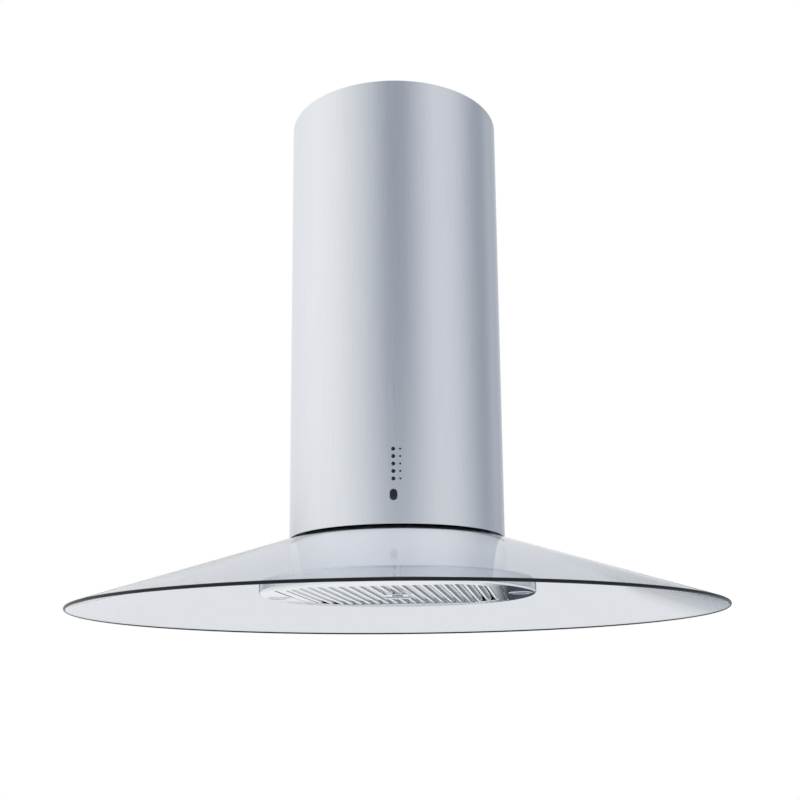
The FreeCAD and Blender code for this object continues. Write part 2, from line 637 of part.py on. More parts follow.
# Chimney tube with the holes for the buttons, the lights and the remote control window.
chimney = new_body("chimney", "chimney_foot")
spin(chimney, [("chimney_bore", "0"), ("chimney_radius", "0"), ("chimney_radius", "chimney_length"),
               ("chimney_bore", "chimney_length")])
derive("button_rows", "button_pitch * (button_count - 1)")
for across, diameter in (("0", "button_diameter + 2 * button_clearance"),
                         ("light_offset", "light_diameter + 2 * light_clearance")):
    sketch = add_circle(new_sketch(chimney, XZ), (across, "button_height"), diameter)
    along(chimney, [cut_through(chimney, sketch, True)], "Z_Axis", "button_rows", "button_count")
slot = add_slot(new_sketch(chimney, XZ), ("0", "window_height"), "window_width + 2 * button_clearance",
                "window_straight")
cut_through(chimney, slot, True)
side_hole = add_circle(new_sketch(chimney, YZ, "0", "tab_first"),
                       ("0", "chimney_length - tab_screw_depth"), "small_hole")
around(chimney, [cut_through(chimney, side_hole, True)], "tab_count", "tab_spread")

chimney_screws = new_body("chimney_screws", "-tab_screw_depth", several=True)
chimney_screws.Placement = FreeCAD.Placement(FreeCAD.Vector(),
                                             FreeCAD.Rotation(FreeCAD.Vector(0, 0, 1),
                                                              number("tab_first")))
chimney_screws.setExpression("Placement.Rotation.Angle", bind("tab_first"))
head = pad(chimney_screws, add_circle(new_sketch(chimney_screws, YZ, "chimney_radius"), ("0", "0"),
                                      "small_head"),
           "small_head_height")
shank = pad(chimney_screws, add_circle(new_sketch(chimney_screws, YZ, "chimney_radius"), ("0", "0"),
                                       "small_screw"),
            "chimney_radius - tab_face + bracket_thickness + screw_past", True)
around(chimney_screws, [head, shank], "tab_count", "tab_spread")


# Glass cone, its gaskets and the clamp ring that holds it down on the body.
glass = new_body("glass_canopy", "rim_foot_z")
cone = spin(glass, [("rim_foot", "0"), ("canopy_radius", "glass_thickness * cos(canopy_slope)"),
                    ("glass_hole_top", glass_over("glass_hole_top")),
                    ("glass_hole", glass_under("glass_hole"))])
ease(glass, cone, "Fillet", "glass_edge_round", ["rim_foot", "canopy_radius"])

lower_gasket = new_body("glass_lower_gasket", "rim_foot_z")
derive("lower_gasket_edge", "chimney_radius - lower_gasket_inset")
spin(lower_gasket, [("gasket_inner", f"{glass_under('gasket_inner')} - gasket_thickness"),
                    ("lower_gasket_edge", f"{glass_under('lower_gasket_edge')} - gasket_thickness"),
                    ("lower_gasket_edge", glass_under("lower_gasket_edge")),
                    ("gasket_inner", glass_under("gasket_inner"))])

upper_gasket = new_body("glass_upper_gasket", "rim_foot_z")
derive("upper_gasket_inner", "glass_hole_top + gasket_hole_margin")
spin(upper_gasket, [("upper_gasket_inner", glass_over("upper_gasket_inner")),
                    ("clamp_edge", glass_over("clamp_edge")),
                    ("clamp_edge", f"{glass_over('clamp_edge')} + gasket_thickness"),
                    ("upper_gasket_inner", f"{glass_over('upper_gasket_inner')} + gasket_thickness")])

clamp = new_body("glass_clamp_ring", "rim_foot_z")
spin(clamp, [("clamp_hole", f"{glass_over('clamp_hole')} + gasket_thickness"),
             ("clamp_edge", f"{glass_over('clamp_edge')} + gasket_thickness"),
             ("clamp_edge", "clamp_top - clamp_flange"),
             ("lip_radius", "clamp_top - clamp_flange"),
             ("lip_radius", "clamp_top + lip_height"),
             ("lip_radius - lip_wall", "clamp_top + lip_height"),
             ("lip_radius - lip_wall", "clamp_top"),
             ("clamp_hole", "clamp_top")])
hole_ring(clamp, "clamp_top", "clamp_top - tray_above_rim", "clamp_screw_circle", "clamp_screw_count",
          "big_hole", "clamp_turn")

body_shell = new_body("hood_body", "rim_foot_z")
derive("body_foot", "tray_above_rim + tray_height")
derive("body_inside", "chimney_radius - body_wall")
derive("body_upright", "body_wall / cos(canopy_slope)")
derive("body_seat", "body_seat_hole / 2")
derive("body_flange_edge", "chimney_radius - body_flange")
spin(body_shell, [("body_flange_edge", "body_foot"), ("chimney_radius", "body_foot"),
                  ("chimney_radius", f"{glass_under('chimney_radius')} - gasket_thickness"),
                  ("body_seat", f"{glass_under('body_seat')} - gasket_thickness"),
                  ("body_seat", f"{glass_under('body_seat')} - gasket_thickness - body_upright"),
                  ("body_inside", f"{glass_under('body_inside')} - gasket_thickness - body_upright"),
                  ("body_inside", "body_foot + body_wall"),
                  ("body_flange_edge", "body_foot + body_wall")])
hole_ring(body_shell, "clamp_top", "clamp_top - body_foot - 2 * body_wall", "clamp_screw_circle",
          "clamp_screw_count", "big_hole", "clamp_turn")
hole_ring(body_shell, "body_foot + body_wall", "body_wall", "tray_screw_circle", "tray_screw_count",
          "small_hole")

derive("clamp_shank",
       f"ring_thickness + clamp_top - {glass_under('clamp_screw_circle / 2')} + gasket_thickness")
clamp_screws = new_body("clamp_screws", "fan_foot", several=True)
screw_ring(clamp_screws, "0", "clamp_screw_circle", "clamp_screw_count", "big",
           "clamp_shank + body_upright + screw_past",
           turn="clamp_turn")


# Tray, the bar across it, the lamps and the grease filter. Tray, lamps and filter share the filter's turn.
def turned_body(label, several=False):
    body = new_body(label, "tray_foot", several)
    turn = FreeCAD.Rotation(FreeCAD.Vector(0, 0, -1), number("filter_turn"))
    body.Placement = FreeCAD.Placement(FreeCAD.Vector(), turn)
    body.setExpression("Placement.Rotation.Angle", bind("filter_turn"))
    return body


tray = turned_body("filter_tray")
derive("tray_inner", "tray_radius - tray_sheet")
derive("tray_top", "tray_height - tray_sheet")
spin(tray, [("0", "0"), ("tray_radius", "0"), ("tray_radius", "tray_height"),
            ("tray_top_opening / 2", "tray_height"), ("tray_top_opening / 2", "tray_top"),
            ("tray_inner", "tray_top"), ("tray_inner", "tray_sheet"), ("0", "tray_sheet")])
cut(tray, add_panel(new_sketch(tray, XY, "tray_sheet"), "opening_side", "opening_corner"), "tray_sheet")
hole_ring(tray, "tray_height", "tray_sheet", "tray_screw_circle", "tray_screw_count", "small_hole",
          "filter_turn")
bar_hole = add_circle(new_sketch(tray, XY, "tray_height", "filter_turn"), ("bar_screw_reach", "0"),
                      "small_hole")
add_circle(bar_hole, ("-bar_screw_reach", "0"), "small_hole")
cut(tray, bar_hole, "tray_sheet")
lamp_hole = add_circle(new_sketch(tray, XY, "tray_sheet"), ("lamp_reach", "0"), "lamp_hole")
pierced = around(tray, [cut(tray, lamp_hole, "tray_sheet")], "lamp_count")
ease(tray, pierced, "Fillet", "tray_edge_round", ["tray_radius"])

tray_screws = new_body("tray_screws", "tray_foot", several=True)
screw_ring(tray_screws, "tray_top", "tray_screw_circle", "tray_screw_count", "small",
           "tray_sheet + body_wall + screw_past", False)

derive("bar_foot", "tray_top - bar_thickness")
crossbar = new_body("filter_crossbar", "tray_foot")
strip = add_box(new_sketch(crossbar, XY, "bar_foot"), ("-bar_reach", "-bar_width / 2"),
                ("bar_reach", "bar_width / 2"))
pad(crossbar, strip, "bar_thickness")
ring_pad(crossbar, "tray_top", "boss_height", "boss_diameter")
bores = add_circle(new_sketch(crossbar, XY), ("0", "0"), "stud_diameter + 2 * stud_clearance")
for across in ("-", ""):
    add_circle(bores, (f"{across}bar_screw_reach", "0"), "small_hole")
cut_through(crossbar, bores, True)
for diameter, length, back in (("small_head", "small_head_height", True),
                               ("small_screw", "bar_thickness + tray_sheet + screw_past", False)):
    sketch = new_sketch(tray_screws, XY, "bar_foot")
    for across in ("-", ""):
        add_circle(sketch, (f"{across}bar_screw_reach", "0"), diameter)
    pad(tray_screws, sketch, length, back)


# One lamp piece, repeated round the tray: each layer is a disc or a ring between two heights.
def lamp_piece(label, layers):
    body = turned_body(label, several=True)
    around(body, [ring_pad(body, *layer, ("lamp_reach", "0")) for layer in layers], "lamp_count")


derive("lamp_neck", "lamp_hole - 2 * lamp_neck_clearance")
derive("lamp_bore", "lamp_neck - 2 * lamp_neck_wall")
lamp_piece("lamp_bezels", [("-lamp_flange_thickness", "lamp_flange_thickness", "lamp_flange",
                            "lamp_bore"),
                           ("0", "lamp_neck_height", "lamp_neck", "lamp_bore")])
lamp_piece("lamp_lenses", [("lens_recess - lamp_flange_thickness", "lens_thickness",
                            "lamp_bore - 2 * lens_clearance", None)])
lamp_piece("lamp_housings", [("lamp_neck_height", "lamp_body_height", "lamp_neck", None)])

# The frame is a folded channel: a lip, the wall and the other lip, each as wide as the next number.
filter_frame = turned_body("filter_frame")
for height, length, width in (("0", "filter_sheet", "filter_lip"), ("0", "filter_height", "filter_sheet"),
                              ("filter_height - filter_sheet", "filter_sheet", "filter_lip")):
    sketch = add_panel(new_sketch(filter_frame, XY, height), "filter_side", "filter_corner")
    add_panel(sketch, f"filter_side - {width}", f"filter_corner - {width}")
    pad(filter_frame, sketch, length)


# A row of channels, trimmed to the frame and bored for the hub.
def baffle_row(label, count, face, edge):
    body = turned_body(label, several=True)
    first = f"-baffle_pitch * ({count} - 1) / 2"
    half = "baffle_width / 2"
    inside = "baffle_width / 2 - baffle_sheet"
    inner_face = f"{face} + baffle_sheet" if face == "filter_sheet" else f"{face} - baffle_sheet"
    outline = [(f"{first} - {half}", face), (f"{first} + {half}", face),
               (f"{first} + {half} + baffle_flare", edge),
               (f"{first} + {inside} + baffle_flare", edge),
               (f"{first} + {inside}", inner_face), (f"{first} - ({inside})", inner_face),
               (f"{first} - ({inside}) - baffle_flare", edge),
               (f"{first} - {half} - baffle_flare", edge)]
    channel = pad(body, add_loop(new_sketch(body, XZ, "-filter_side"), outline), "2 * filter_side")
    along(body, [channel], "X_Axis", f"baffle_pitch * ({count} - 1)", count)
    inset = "(filter_sheet + baffle_end_gap)"
    trim = add_panel(new_sketch(body, XY), f"filter_side - {inset}", f"filter_corner - {inset}")
    add_circle(trim, ("0", "0"), "4 * filter_side")
    cut_through(body, trim, True)
    bore = add_circle(new_sketch(body, XY), ("0", "0"), "hub_diameter + 2 * hub_clearance")
    cut_through(body, bore, True)


derive("upper_face", "filter_height - filter_sheet - baffle_end_gap")
baffle_row("lower_baffles", "baffle_count", "filter_sheet", "filter_sheet + baffle_height")
baffle_row("upper_baffles", "(baffle_count - 1)", "upper_face", "upper_face - baffle_height")

hub = new_body("filter_hub", "tray_foot")
derive("washer_foot", "filter_sheet - hub_washer_thickness")
derive("hub_bore", "stud_diameter + 2 * stud_clearance")
ring_pad(hub, "washer_foot", "hub_washer_thickness", "hub_washer", "hub_bore")
ring_pad(hub, "washer_foot", "filter_height - washer_foot", "hub_diameter", "hub_bore")

derive("knob_top", "washer_foot - knob_gap")
knob = new_body("filter_knob", "tray_foot")
ring_pad(knob, "knob_top", "knob_base_height", "knob_base", back=True)
wing = new_sketch(knob, XY, "knob_top - knob_base_height", "90")
add_slot(wing, ("0", "0"), "knob_width", "knob_length - knob_width")
pad(knob, wing, "knob_height", True)

stud = new_body("knob_stud", "tray_foot")
ring_pad(stud, "knob_top", "tray_top + boss_height + stud_past - knob_top", "stud_diameter")


# Control unit: everything is placed by its distance from the axis towards the front.
derive("flange_face", "chimney_bore - flange_gap")
derive("flange_back", "flange_face - flange_thickness")
derive("nub_face", "flange_back - button_travel - mat_rest_gap")
derive("mat_face", "nub_face - mat_nub")
derive("board_face", "mat_face - mat_thickness")
derive("board_back", "board_face - board_thickness")
derive("housing_face", "chimney_bore - housing_inset")
derive("housing_back", "housing_face - housing_deep")
derive("housing_middle", "light_offset / 2")
derive("housing_left", "housing_middle - housing_width / 2")
derive("housing_right", "housing_middle + housing_width / 2")
derive("housing_top", "housing_foot + housing_tall")
derive("ear_level", "housing_foot + housing_tall / 2")

for place, label in enumerate(("button_off", "button_speed_one", "button_speed_two", "button_speed_three",
                               "button_light")):
    button = new_body(label, f"chimney_foot + button_height + {place} * button_pitch")
    collar = add_circle(new_sketch(button, XZ, "flange_back"), ("0", "0"),
                        "button_diameter + 2 * flange_overlap")
    pad(button, collar, "flange_thickness")
    cap = add_circle(new_sketch(button, XZ, "flange_face"), ("0", "0"), "button_diameter")
    cap = pad(button, cap, "chimney_radius + button_proud - flange_face")
    doc.recompute()
    front = -number("chimney_radius + button_proud")
    edges = [f"Edge{spot}" for spot, edge in enumerate(cap.Shape.Edges, 1)
             if math.isclose(edge.BoundBox.YMax, front, rel_tol=1e-6)]
    new_feature(button, "Chamfer", Base=(cap, edges)).setExpression("Size", bind("button_chamfer"))

lights = new_body("indicator_light_pipes", "chimney_foot", several=True)
pipe = add_circle(new_sketch(lights, XZ, "board_face"), ("light_offset", "button_height"),
                  "light_diameter")
pipe = pad(lights, pipe, "chimney_radius - light_sink - board_face")
along(lights, [pipe], "Z_Axis", "button_rows", "button_count")

window = new_body("remote_window", "chimney_foot")
spot = ("0", "window_height")
stem = add_circle(new_sketch(window, XZ, "board_face"), spot, "window_stem")
pad(window, stem, "flange_back - board_face")
backing = add_slot(new_sketch(window, XZ, "flange_back"), spot, "window_width + 2 * flange_overlap",
                   "window_straight")
pad(window, backing, "flange_thickness")
pane = add_slot(new_sketch(window, XZ, "flange_face"), spot, "window_width", "window_straight")
pad(window, pane, "chimney_radius + window_proud - flange_face")

mat = new_body("button_mat", "chimney_foot")
low = ("housing_middle - mat_width / 2", "button_height - mat_margin")
high = ("housing_middle + mat_width / 2", "button_height + button_rows + mat_margin")
pad(mat, add_box(new_sketch(mat, XZ, "board_face"), low, high), "mat_thickness")
nub = add_circle(new_sketch(mat, XZ, "mat_face"), ("0", "button_height"), "button_diameter")
along(mat, [pad(mat, nub, "mat_nub")], "Z_Axis", "button_rows", "button_count")
eye = add_circle(new_sketch(mat, XZ), ("light_offset", "button_height"),
                 "light_diameter + 2 * light_clearance")
along(mat, [cut_through(mat, eye, True)], "Z_Axis", "button_rows", "button_count")

derive("board_inset", "housing_wall + board_gap")
board = new_body("control_board", "chimney_foot")
low = ("housing_left + board_inset", "housing_foot + board_inset")
high = ("housing_right - board_inset", "housing_top - board_inset")
pad(board, add_box(new_sketch(board, XZ, "board_back"), low, high), "board_thickness")

housing = new_body("control_housing", "chimney_foot")
shell = add_box(new_sketch(housing, XZ, "housing_back"), ("housing_left", "housing_foot"),
                ("housing_right", "housing_top"))
pad(housing, shell, "housing_deep")
hollow = add_box(new_sketch(housing, XZ, "housing_face"),
                 ("housing_left + housing_wall", "housing_foot + housing_wall"),
                 ("housing_right - housing_wall", "housing_top - housing_wall"))
cut(housing, hollow, "housing_deep - housing_wall")
pillars = new_sketch(housing, XZ, "housing_back + housing_wall")
for across in ("housing_left + pillar_margin", "housing_right - pillar_margin"):
    for level in ("housing_foot + pillar_margin", "housing_top - pillar_margin"):
        add_circle(pillars, (across, level), "pillar_diameter")
pad(housing, pillars, "board_back - housing_back - housing_wall")
ears = new_sketch(housing, XZ, "board_back")
add_box(ears, ("housing_left - ear_reach", "ear_level - ear_height / 2"),
        ("housing_left", "ear_level + ear_height / 2"))
add_box(ears, ("housing_right", "ear_level - ear_height / 2"),
        ("housing_right + ear_reach", "ear_level + ear_height / 2"))
pad(housing, ears, "ear_thickness")
derive("stud_left", "housing_left - ear_reach / 2")
derive("stud_right", "housing_right + ear_reach / 2")
ear_holes = new_sketch(housing, XZ, "board_back + ear_thickness")
add_circle(ear_holes, ("stud_left", "ear_level"), "small_hole")
add_circle(ear_holes, ("stud_right", "ear_level"), "small_hole")
cut(housing, ear_holes, "ear_thickness")

studs = new_body("control_studs_and_nuts", "chimney_foot", several=True)
derive("stud_back", "board_back - nut_thickness - screw_past / 2")
for across, reach in (("stud_left", "small_screw / 2 - stud_left"),
                      ("stud_right", "stud_right + small_screw / 2")):
    foot = add_circle(new_sketch(studs, XZ, "stud_back"), (across, "ear_level"), "small_screw")
    pad(studs, foot, f"sqrt(chimney_bore ^ 2 - ({reach}) ^ 2) - stud_back")
rings = new_sketch(studs, XZ, "board_back")
for across in ("stud_left", "stud_right"):
    add_circle(rings, (across, "ear_level"), "nut_diameter")
    add_circle(rings, (across, "ear_level"), "small_hole")
pad(studs, rings, "nut_thickness", True)


# Fan: rubber ring, casing, motor on its carrier and the impeller.
derive("casing_radius", "casing_diameter / 2")
derive("casing_inside", "casing_radius - casing_sheet")
derive("casing_edge", "casing_radius + casing_flange")
derive("inlet_radius", "inlet_diameter / 2")
derive("casing_floor", "seal_height + casing_sheet")
derive("carrier_foot", "seal_height + lower_casing_height")
derive("motor_foot", "carrier_foot + carrier_thickness")
derive("casing_top", "motor_foot + upper_casing_height")

seal = new_body("fan_seal_ring", "fan_foot")
ring_pad(seal, "0", "seal_height", "2 * casing_edge", "2 * (casing_edge - seal_width)")
hole_ring(seal, "seal_height", "seal_height", "casing_screw_circle", "casing_screw_count", "small_hole")
hole_ring(seal, "seal_height", "seal_height", "clamp_screw_circle", "clamp_screw_count",
          "big_head + 2 * head_clearance", "clamp_turn")

lower_casing = new_body("fan_casing_lower", "fan_foot")
spin(lower_casing, [("inlet_radius", "seal_height"), ("casing_edge", "seal_height"),
                    ("casing_edge", "casing_floor"),
                    ("casing_radius", "casing_floor"), ("casing_radius", "carrier_foot - casing_sheet"),
                    ("casing_edge", "carrier_foot - casing_sheet"), ("casing_edge", "carrier_foot"),
                    ("casing_inside", "carrier_foot"), ("casing_inside", "casing_floor"),
                    ("inlet_radius + casing_sheet", "casing_floor"),
                    ("inlet_radius + casing_sheet", "casing_floor + inlet_height"),
                    ("inlet_radius", "casing_floor + inlet_height")])
hole_ring(lower_casing, "carrier_foot", "lower_casing_height", "casing_screw_circle",
          "casing_screw_count", "small_hole")

carrier = new_body("motor_carrier", "fan_foot")
ring_pad(carrier, "carrier_foot", "carrier_thickness", "carrier_hub")
arm = add_box(new_sketch(carrier, XY, "carrier_foot", "90"), ("carrier_hub / 4", "-arm_width / 2"),
              ("casing_radius", "arm_width / 2"))
around(carrier, [pad(carrier, arm, "carrier_thickness")], "arm_count")
ring_pad(carrier, "carrier_foot", "carrier_thickness", "2 * casing_edge",
         "2 * (casing_inside - casing_sheet)")
eye = add_circle(new_sketch(carrier, XY, "motor_foot"), ("0", "0"), "carrier_hole")
cut(carrier, eye, "carrier_thickness")
hole_ring(carrier, "motor_foot", "carrier_thickness", "casing_screw_circle", "casing_screw_count",
          "small_hole")
hole_ring(carrier, "motor_foot", "carrier_thickness", "motor_screw_circle", "arm_count", "small_hole")

upper_casing = new_body("fan_casing_upper", "fan_foot")
spin(upper_casing, [("casing_inside", "motor_foot"), ("casing_edge", "motor_foot"),
                    ("casing_edge", "motor_foot + casing_sheet"),
                    ("casing_radius", "motor_foot + casing_sheet"), ("casing_radius", "casing_top"),
                    ("outlet_hole / 2", "casing_top"), ("outlet_hole / 2", "casing_top - casing_sheet"),
                    ("casing_inside", "casing_top - casing_sheet")])
hole_ring(upper_casing, "motor_foot + casing_sheet", "casing_sheet", "casing_screw_circle",
          "casing_screw_count", "small_hole")
hole_ring(upper_casing, "casing_top", "casing_sheet", "collar_screw_circle", "casing_screw_count",
          "small_hole")

fan_screws = new_body("fan_screws", "fan_foot", several=True)
screw_ring(fan_screws, "casing_floor", "casing_screw_circle", "casing_screw_count", "small",
           "casing_floor + ring_thickness")
screw_ring(fan_screws, "motor_foot + casing_sheet", "casing_screw_circle", "casing_screw_count", "small",
           "2 * casing_sheet + carrier_thickness + screw_past")
screw_ring(fan_screws, "carrier_foot", "motor_screw_circle", "arm_count", "small",
           "carrier_thickness + 2 * screw_past", False)
screw_ring(fan_screws, "casing_top + collar_flange_thickness", "collar_screw_circle",
           "casing_screw_count", "small",
           "collar_flange_thickness + casing_sheet + screw_past")

motor = new_body("motor_body", "fan_foot")
derive("motor_top", "motor_foot + motor_height")
derive("bearing_seat", "bearing_diameter + 2 * bearing_fit")
ring_pad(motor, "motor_foot", "motor_height", "motor_diameter", "motor_bore")
for face, back in (("motor_foot", True), ("motor_top", False)):
    pocket = add_circle(new_sketch(motor, XY, face), ("0", "0"), "bearing_seat")
    cut(motor, pocket, "bearing_height", back)
thread = add_circle(new_sketch(motor, XY, "motor_foot"), ("motor_screw_circle / 2", "0"), "small_hole")
around(motor, [cut(motor, thread, "3 * screw_past", True)], "arm_count")

bearings = new_body("motor_bearings", "fan_foot", several=True)
for foot in ("motor_foot", "motor_top - bearing_height"):
    ring_pad(bearings, foot, "bearing_height", "bearing_diameter", "shaft_diameter + 2 * bearing_fit")

derive("eye_foot", "casing_floor + impeller_gap")
derive("blade_foot", "eye_foot + impeller_sheet")
derive("blade_top", "blade_foot + blade_height")
derive("boss_foot", "blade_top - impeller_boss_height")
shaft = new_body("motor_shaft", "fan_foot")
ring_pad(shaft, "boss_foot", "motor_top - boss_foot", "shaft_diameter")

impeller = new_body("impeller_disc", "fan_foot")
shaft_hole = "shaft_diameter + 2 * bearing_fit"
ring_pad(impeller, "blade_top", "impeller_sheet", "impeller_diameter", shaft_hole)
ring_pad(impeller, "boss_foot", "impeller_boss_height", "impeller_boss", shaft_hole)

eye_ring = new_body("impeller_eye_ring", "fan_foot")
ring_pad(eye_ring, "eye_foot", "impeller_sheet", "impeller_diameter", "impeller_eye")

blades = new_body("impeller_blades", "fan_foot", several=True)
derive("blade_tip", "impeller_diameter / 2 - blade_margin")
derive("blade_run", "blade_tip * cos(blade_sweep) - blade_root")
derive("blade_rise", "blade_tip * sin(blade_sweep)")
derive("blade_chord", "sqrt(blade_run ^ 2 + blade_rise ^ 2)")
derive("blade_out", "blade_sheet * blade_rise / blade_chord")
derive("blade_back", "blade_sheet * blade_run / blade_chord")
outline = [("blade_root", "0"), ("blade_root + blade_run", "blade_rise"),
           ("blade_root + blade_run + blade_out", "blade_rise - blade_back"),
           ("blade_root + blade_out", "-blade_back")]
blade = add_loop(new_sketch(blades, XY, "blade_foot"), outline)
around(blades, [pad(blades, blade, "blade_height")], "blade_count")


# Outlet collar with two half-round flaps on one pin.
derive("collar_edge", "collar_bore + collar_flange")
derive("ledge_edge", "collar_bore - ledge_width")
derive("ledge_top", "ledge_rise + ledge_height")
derive("pin_level", "ledge_top + flap_rest_gap + flap_thickness / 2")
derive("collar_foot", "fan_foot + casing_top")
outlet = new_body("outlet_collar", "collar_foot")
spin(outlet, [("collar_bore", "0"), ("collar_edge", "0"), ("collar_edge", "collar_flange_thickness"),
              ("collar_radius", "collar_flange_thickness"), ("collar_radius", "collar_height"),
              ("collar_bore", "collar_height"), ("collar_bore", "ledge_top"), ("ledge_edge", "ledge_top"),
              ("ledge_edge", "ledge_rise"), ("collar_bore", "ledge_rise")])
hole_ring(outlet, "collar_flange_thickness", "collar_flange_thickness", "collar_screw_circle",
          "casing_screw_count", "small_hole")
cross = add_circle(new_sketch(outlet, YZ), ("0", "pin_level"), "pin_diameter + 2 * pin_fit")
cut_through(outlet, cross, both=True)

derive("pin_reach", "collar_radius - pin_end_gap")
pin = new_body("flap_pin", "collar_foot")
pad(pin, add_circle(new_sketch(pin, YZ, "-pin_reach"), ("0", "pin_level"), "pin_diameter"),
    "2 * pin_reach")


def flap(label, face, knuckles):
    body = new_body(label, "collar_foot")
    derive("flap_foot", "pin_level - flap_thickness / 2")
    derive("flap_radius", "collar_bore - flap_clearance")
    ring_pad(body, "flap_foot", "flap_thickness", "2 * flap_radius")
    away = add_box(new_sketch(body, XY), ("-2 * flap_radius", f"{face}(flap_edge_gap)"),
                   ("2 * flap_radius", f"{face}(-2 * flap_radius)"))
    cut_through(body, away, True)
    for start in knuckles:
        barrel = add_circle(new_sketch(body, YZ, start), ("0", "pin_level"), "knuckle_diameter")
        web = add_box(new_sketch(body, YZ, start), (f"{face}(knuckle_diameter + pin_diameter) / 4",
                                                    "flap_foot"),
                      (f"{face}(flap_edge_gap + flap_thickness)", "flap_foot + flap_thickness"))
        pad(body, web, "knuckle_length")
        pad(body, barrel, "knuckle_length")
    bore = add_circle(new_sketch(body, YZ), ("0", "pin_level"), "pin_diameter + 2 * pin_fit")
    cut_through(body, bore, both=True)


flap("flap_front", "-", ("-knuckle_far - knuckle_length", "knuckle_near"))
flap("flap_rear", "", ("-knuckle_near - knuckle_length", "knuckle_far"))


# Strap between the rear uprights with the terminal box and the motor's run capacitor.
derive("strap_reach", "lug_face - strap_end_gap")
strap = new_body("rear_strap", "-strap_depth")
band = add_box(new_sketch(strap, XY), ("-strap_reach", "lug_face - strap_thickness"),
               ("strap_reach", "lug_face"))
pad(strap, band, "strap_height")
holes = new_sketch(strap, XZ)
for across in ("-", ""):
    add_circle(holes, (f"{across}(lug_middle)", "strap_height / 2"), "big_hole")
cut_through(strap, holes, both=True)

derive("box_left", "-box_side - box_width / 2")
derive("box_right", "box_width / 2 - box_side")
derive("box_rear", "lug_face + box_deep")
derive("box_top", "box_tall - box_drop")
box = new_body("terminal_box", "-strap_depth")
pad(box, add_box(new_sketch(box, XY, "-box_drop"), ("box_left", "lug_face"), ("box_right", "box_rear")),
    "box_tall")
hollow = add_box(new_sketch(box, XZ, "-box_rear"), ("box_left + box_wall", "box_wall - box_drop"),
                 ("box_right - box_wall", "box_top - box_wall"))
cut(box, hollow, "box_deep - box_wall", True)
gland_spot = ("-box_side", "lug_face + box_deep / 2")
cut(box, add_circle(new_sketch(box, XY, "box_top"), gland_spot, "gland_bore"), "box_wall")

lid = new_body("terminal_cover", "-strap_depth")
pad(lid, add_box(new_sketch(lid, XZ, "-box_rear"), ("box_left", "-box_drop"), ("box_right", "box_top")),
    "box_wall", True)

gland = new_body("cable_gland", "-strap_depth")
ring_pad(gland, "box_top", "gland_height", "gland_diameter", "gland_bore", gland_spot)

derive("clip_inside", "capacitor_diameter + 2 * clip_gap")
capacitor_spot = ("capacitor_side", "lug_face + clip_gap + clip_wall + clip_inside / 2")
capacitor = new_body("run_capacitor", "-strap_depth")
ring_pad(capacitor, "-capacitor_drop", "capacitor_height", "capacitor_diameter", None, capacitor_spot)
clip = new_body("capacitor_clip", "-strap_depth")
ring_pad(clip, "(strap_height - clip_height) / 2", "clip_height", "clip_inside + 2 * clip_wall",
         "clip_inside", capacitor_spot)


# Every piece is checked before it is written.
doc.recompute()
os.makedirs("parts", exist_ok=True)
for body in NODES:
    for item in [body] + list(body.Group):
        if "Invalid" in item.State or "Error" in item.State:
            raise RuntimeError(f"{body.Label}: {item.Name} is in error")
    if body.Shape.isNull() or not body.Shape.isValid():
        raise RuntimeError(f"{body.Label}: the shape is not valid")
for body in NODES:
    body.Shape.exportStep(f"parts/{body.Label}.step")
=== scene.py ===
import bpy
import bmesh
import math
from mathutils import Matrix, Vector


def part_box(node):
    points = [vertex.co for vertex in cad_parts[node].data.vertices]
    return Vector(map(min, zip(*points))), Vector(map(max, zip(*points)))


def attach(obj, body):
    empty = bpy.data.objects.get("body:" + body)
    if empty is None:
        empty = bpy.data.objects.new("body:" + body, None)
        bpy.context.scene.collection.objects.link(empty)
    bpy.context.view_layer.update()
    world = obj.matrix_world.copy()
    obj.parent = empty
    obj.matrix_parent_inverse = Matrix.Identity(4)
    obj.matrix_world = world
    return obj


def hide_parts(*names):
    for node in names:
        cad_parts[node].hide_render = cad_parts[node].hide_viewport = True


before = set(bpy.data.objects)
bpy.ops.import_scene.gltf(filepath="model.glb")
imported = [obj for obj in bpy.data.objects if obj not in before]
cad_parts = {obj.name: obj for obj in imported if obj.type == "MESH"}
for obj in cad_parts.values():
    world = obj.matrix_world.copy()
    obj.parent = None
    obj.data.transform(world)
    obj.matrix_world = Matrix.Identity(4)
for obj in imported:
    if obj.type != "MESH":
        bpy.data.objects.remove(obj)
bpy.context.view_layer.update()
scene = bpy.context.scene
scene.view_settings.view_transform = "Standard"
mm = 0.001


def linear(hexColour):
    parts = [int(hexColour[i:i + 2], 16) / 255 for i in (1, 3, 5)]
    return tuple(p / 12.92 if p <= 0.04045 else ((p + 0.055) / 1.055) ** 2.4 for p in parts) + (1.0,)


# adds one node; inputs go by name or number, and a node given as a value links its first live output
def addNode(tree, kind, inputs=None, stops=None, **settings):
    node = tree.nodes.new(kind)
    for key, value in settings.items():
        setattr(node, key, value)
    for key, value in (inputs or {}).items():
        live = [s for s in node.inputs if s.enabled]
        socket = node.inputs[key] if isinstance(key, int) else next(s for s in live if s.name == key)
        if isinstance(value, bpy.types.Node):
            value = next(s for s in value.outputs if s.enabled)
        if isinstance(value, bpy.types.NodeSocket):
            tree.links.new(value, socket)
        else:
            socket.default_value = value
    for place, (spot, colour) in enumerate(stops or []):
        marks = node.color_ramp.elements
        mark = marks[place] if place < 2 else marks.new(spot)
        mark.position = spot
        mark.color = colour
    return node


